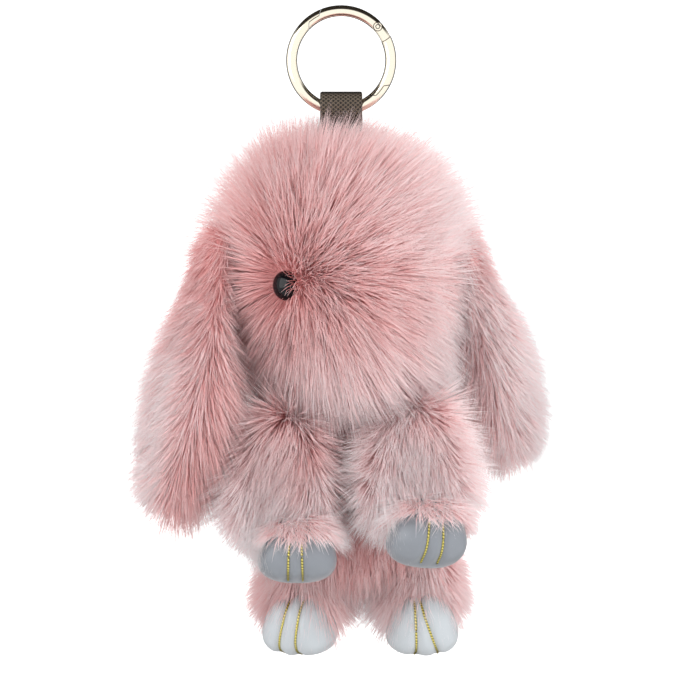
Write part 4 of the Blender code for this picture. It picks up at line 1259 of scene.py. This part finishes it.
class KEYCHAIN_OT_inside(Operator):
    """Finishes the pieces inside: filling, cords, washers, thread and the gate's spring"""
    bl_idname = "keychain.inside"
    bl_label = "Inside pieces"

    def execute(self, context):
        hardware = context.scene.keychain_hardware
        fibre = plain_material("filling_fibre", (0.85, 0.84, 0.82), 300.0, 0.85, 0.95)
        cord = plain_material("binding_cord", (0.70, 0.36, 0.35), 1500.0, 0.7, 0.8)
        plastic = plain_material("washer_plastic", (0.80, 0.80, 0.80), 200.0, 0.96, 0.4)
        thread = plain_material("strap_thread_brown", (0.14, 0.10, 0.08), 1500.0, 0.6, 0.8)
        steel = metal_material("spring_steel_wire", hardware.steel, 0.3)
        finishes = {
            "stuffing": fibre, "neck_core": fibre, "binding": cord, "washer": plastic,
            "strap_thread": thread, "gate_spring": steel, "gate_plunger": steel,
        }
        for node, obj in frame["nodes"].items():
            for word, material in finishes.items():
                if word in node:
                    obj.data.materials.clear()
                    obj.data.materials.append(material)
        return {"FINISHED"}


# Stage

BACKDROP_GLOW = 0.45
BACKDROP_BACK = 2.8
BACKDROP_BEND = 0.8
BACKDROP_REACH = 3.0
# Each light's place, size, power in watts, and whether reflections show it
LIGHTS = {
    "key_light": ((0.95, -0.80, 0.02), (0.8, 0.8), 9.5, False),
    "fill_light": ((-0.9, -0.6, 0.15), (0.9, 0.9), 6.0, True),
    "rim_light": ((0.3, 0.7, 0.8), (0.9, 0.5), 6.0, False),
}
LIGHTS_AIM = Vector((0.0, 0.0, -0.09))
CAMERA_AIM = Vector((-0.00047, 0.0, -0.0896))
SENSOR_WIDTH = 36.0
# The photograph's width, and its scale at the part
PHOTO_PIXELS = 679
PIXELS_PER_METRE = 3600.0


def add_backdrop(stage):
    """A floor that bends up into a wall behind the part."""
    floor_z = cad_box[0][2] - stage.drop
    bend = BACKDROP_BEND
    line = [(-BACKDROP_REACH, floor_z)]
    line += [(BACKDROP_BACK - bend + bend * math.sin(a), floor_z + bend - bend * math.cos(a))
             for a in np.linspace(0, math.pi / 2, 16)]
    line.append((BACKDROP_BACK, floor_z + BACKDROP_REACH))
    bm = bmesh.new()
    rows = [[bm.verts.new((x, y, z)) for x in (-BACKDROP_REACH, BACKDROP_REACH)] for y, z in line]
    for low, high in zip(rows, rows[1:]):
        bm.faces.new((low[0], low[1], high[1], high[0]))
    sheet = add_object("backdrop", mesh_from(bm, "backdrop"))
    sheet.data.materials.append(backdrop_material(stage))


def add_light(name, place, size, power, mirrored):
    lamp = bpy.data.lights.new(name, "AREA")
    lamp.shape = "RECTANGLE"
    lamp.size, lamp.size_y = size
    lamp.energy = power
    obj = add_object(name, lamp)
    obj.visible_glossy = mirrored
    obj.location = place
    obj.rotation_euler = (LIGHTS_AIM - Vector(place)).to_track_quat("-Z", "Y").to_euler()


def add_camera(stage):
    """A camera that frames the part as the photograph does."""
    data = bpy.data.cameras.new("camera")
    data.sensor_width = SENSOR_WIDTH
    data.lens = data.sensor_width * stage.distance / (PHOTO_PIXELS / PIXELS_PER_METRE)
    data.clip_start = 0.05
    data.clip_end = 20.0
    camera = add_object("camera", data)
    offset = Vector((0, -math.cos(stage.elevation), math.sin(stage.elevation))) * stage.distance
    camera.location = CAMERA_AIM + offset
    camera.rotation_euler = (-offset).to_track_quat("-Z", "Y").to_euler()
    return camera


class KEYCHAIN_OT_stage(Operator):
    """Sets the white floor and backdrop, the soft lights and the camera"""
    bl_idname = "keychain.stage"
    bl_label = "Stage"

    def execute(self, context):
        scene = context.scene
        stage = scene.keychain_stage
        add_backdrop(stage)
        for name, light in LIGHTS.items():
            add_light(name, *light)
        scene.world = studio_world(stage)
        scene.camera = add_camera(stage)
        scene.view_settings.view_transform = "Standard"
        return {"FINISHED"}


class KEYCHAIN_PT_build(Panel):
    """Lists the keychain's pieces"""
    bl_idname = "KEYCHAIN_PT_build"
    bl_label = "Keychain"
    bl_space_type = "VIEW_3D"
    bl_region_type = "UI"
    bl_category = "Keychain"

    def draw(self, context):
        for operator in OPERATORS:
            self.layout.operator(operator.bl_idname)


SETTINGS = {
    "keychain_pile": PileSettings,
    "keychain_hardware": HardwareSettings,
    "keychain_strap": StrapSettings,
    "keychain_paws": PawSettings,
    "keychain_eyes": EyeSettings,
    "keychain_stage": StageSettings,
}
OPERATORS = (
    KEYCHAIN_OT_stage, KEYCHAIN_OT_ring, KEYCHAIN_OT_strap, KEYCHAIN_OT_eyes, KEYCHAIN_OT_paws,
    KEYCHAIN_OT_head, KEYCHAIN_OT_ears, KEYCHAIN_OT_body, KEYCHAIN_OT_arms, KEYCHAIN_OT_legs,
    KEYCHAIN_OT_inside,
)


def register():
    for group in SETTINGS.values():
        bpy.utils.register_class(group)
    for item in OPERATORS + (KEYCHAIN_PT_build,):
        bpy.utils.register_class(item)
    for name, group in SETTINGS.items():
        setattr(bpy.types.Scene, name, PointerProperty(type=group))


def unregister():
    for name in SETTINGS:
        delattr(bpy.types.Scene, name)
    for item in (KEYCHAIN_PT_build,) + OPERATORS:
        bpy.utils.unregister_class(item)
    for group in SETTINGS.values():
        bpy.utils.unregister_class(group)


def main():
    register()
    for operator in OPERATORS:
        group, name = operator.bl_idname.split(".")
        getattr(getattr(bpy.ops, group), name)()


if __name__ == "__main__":
    main()
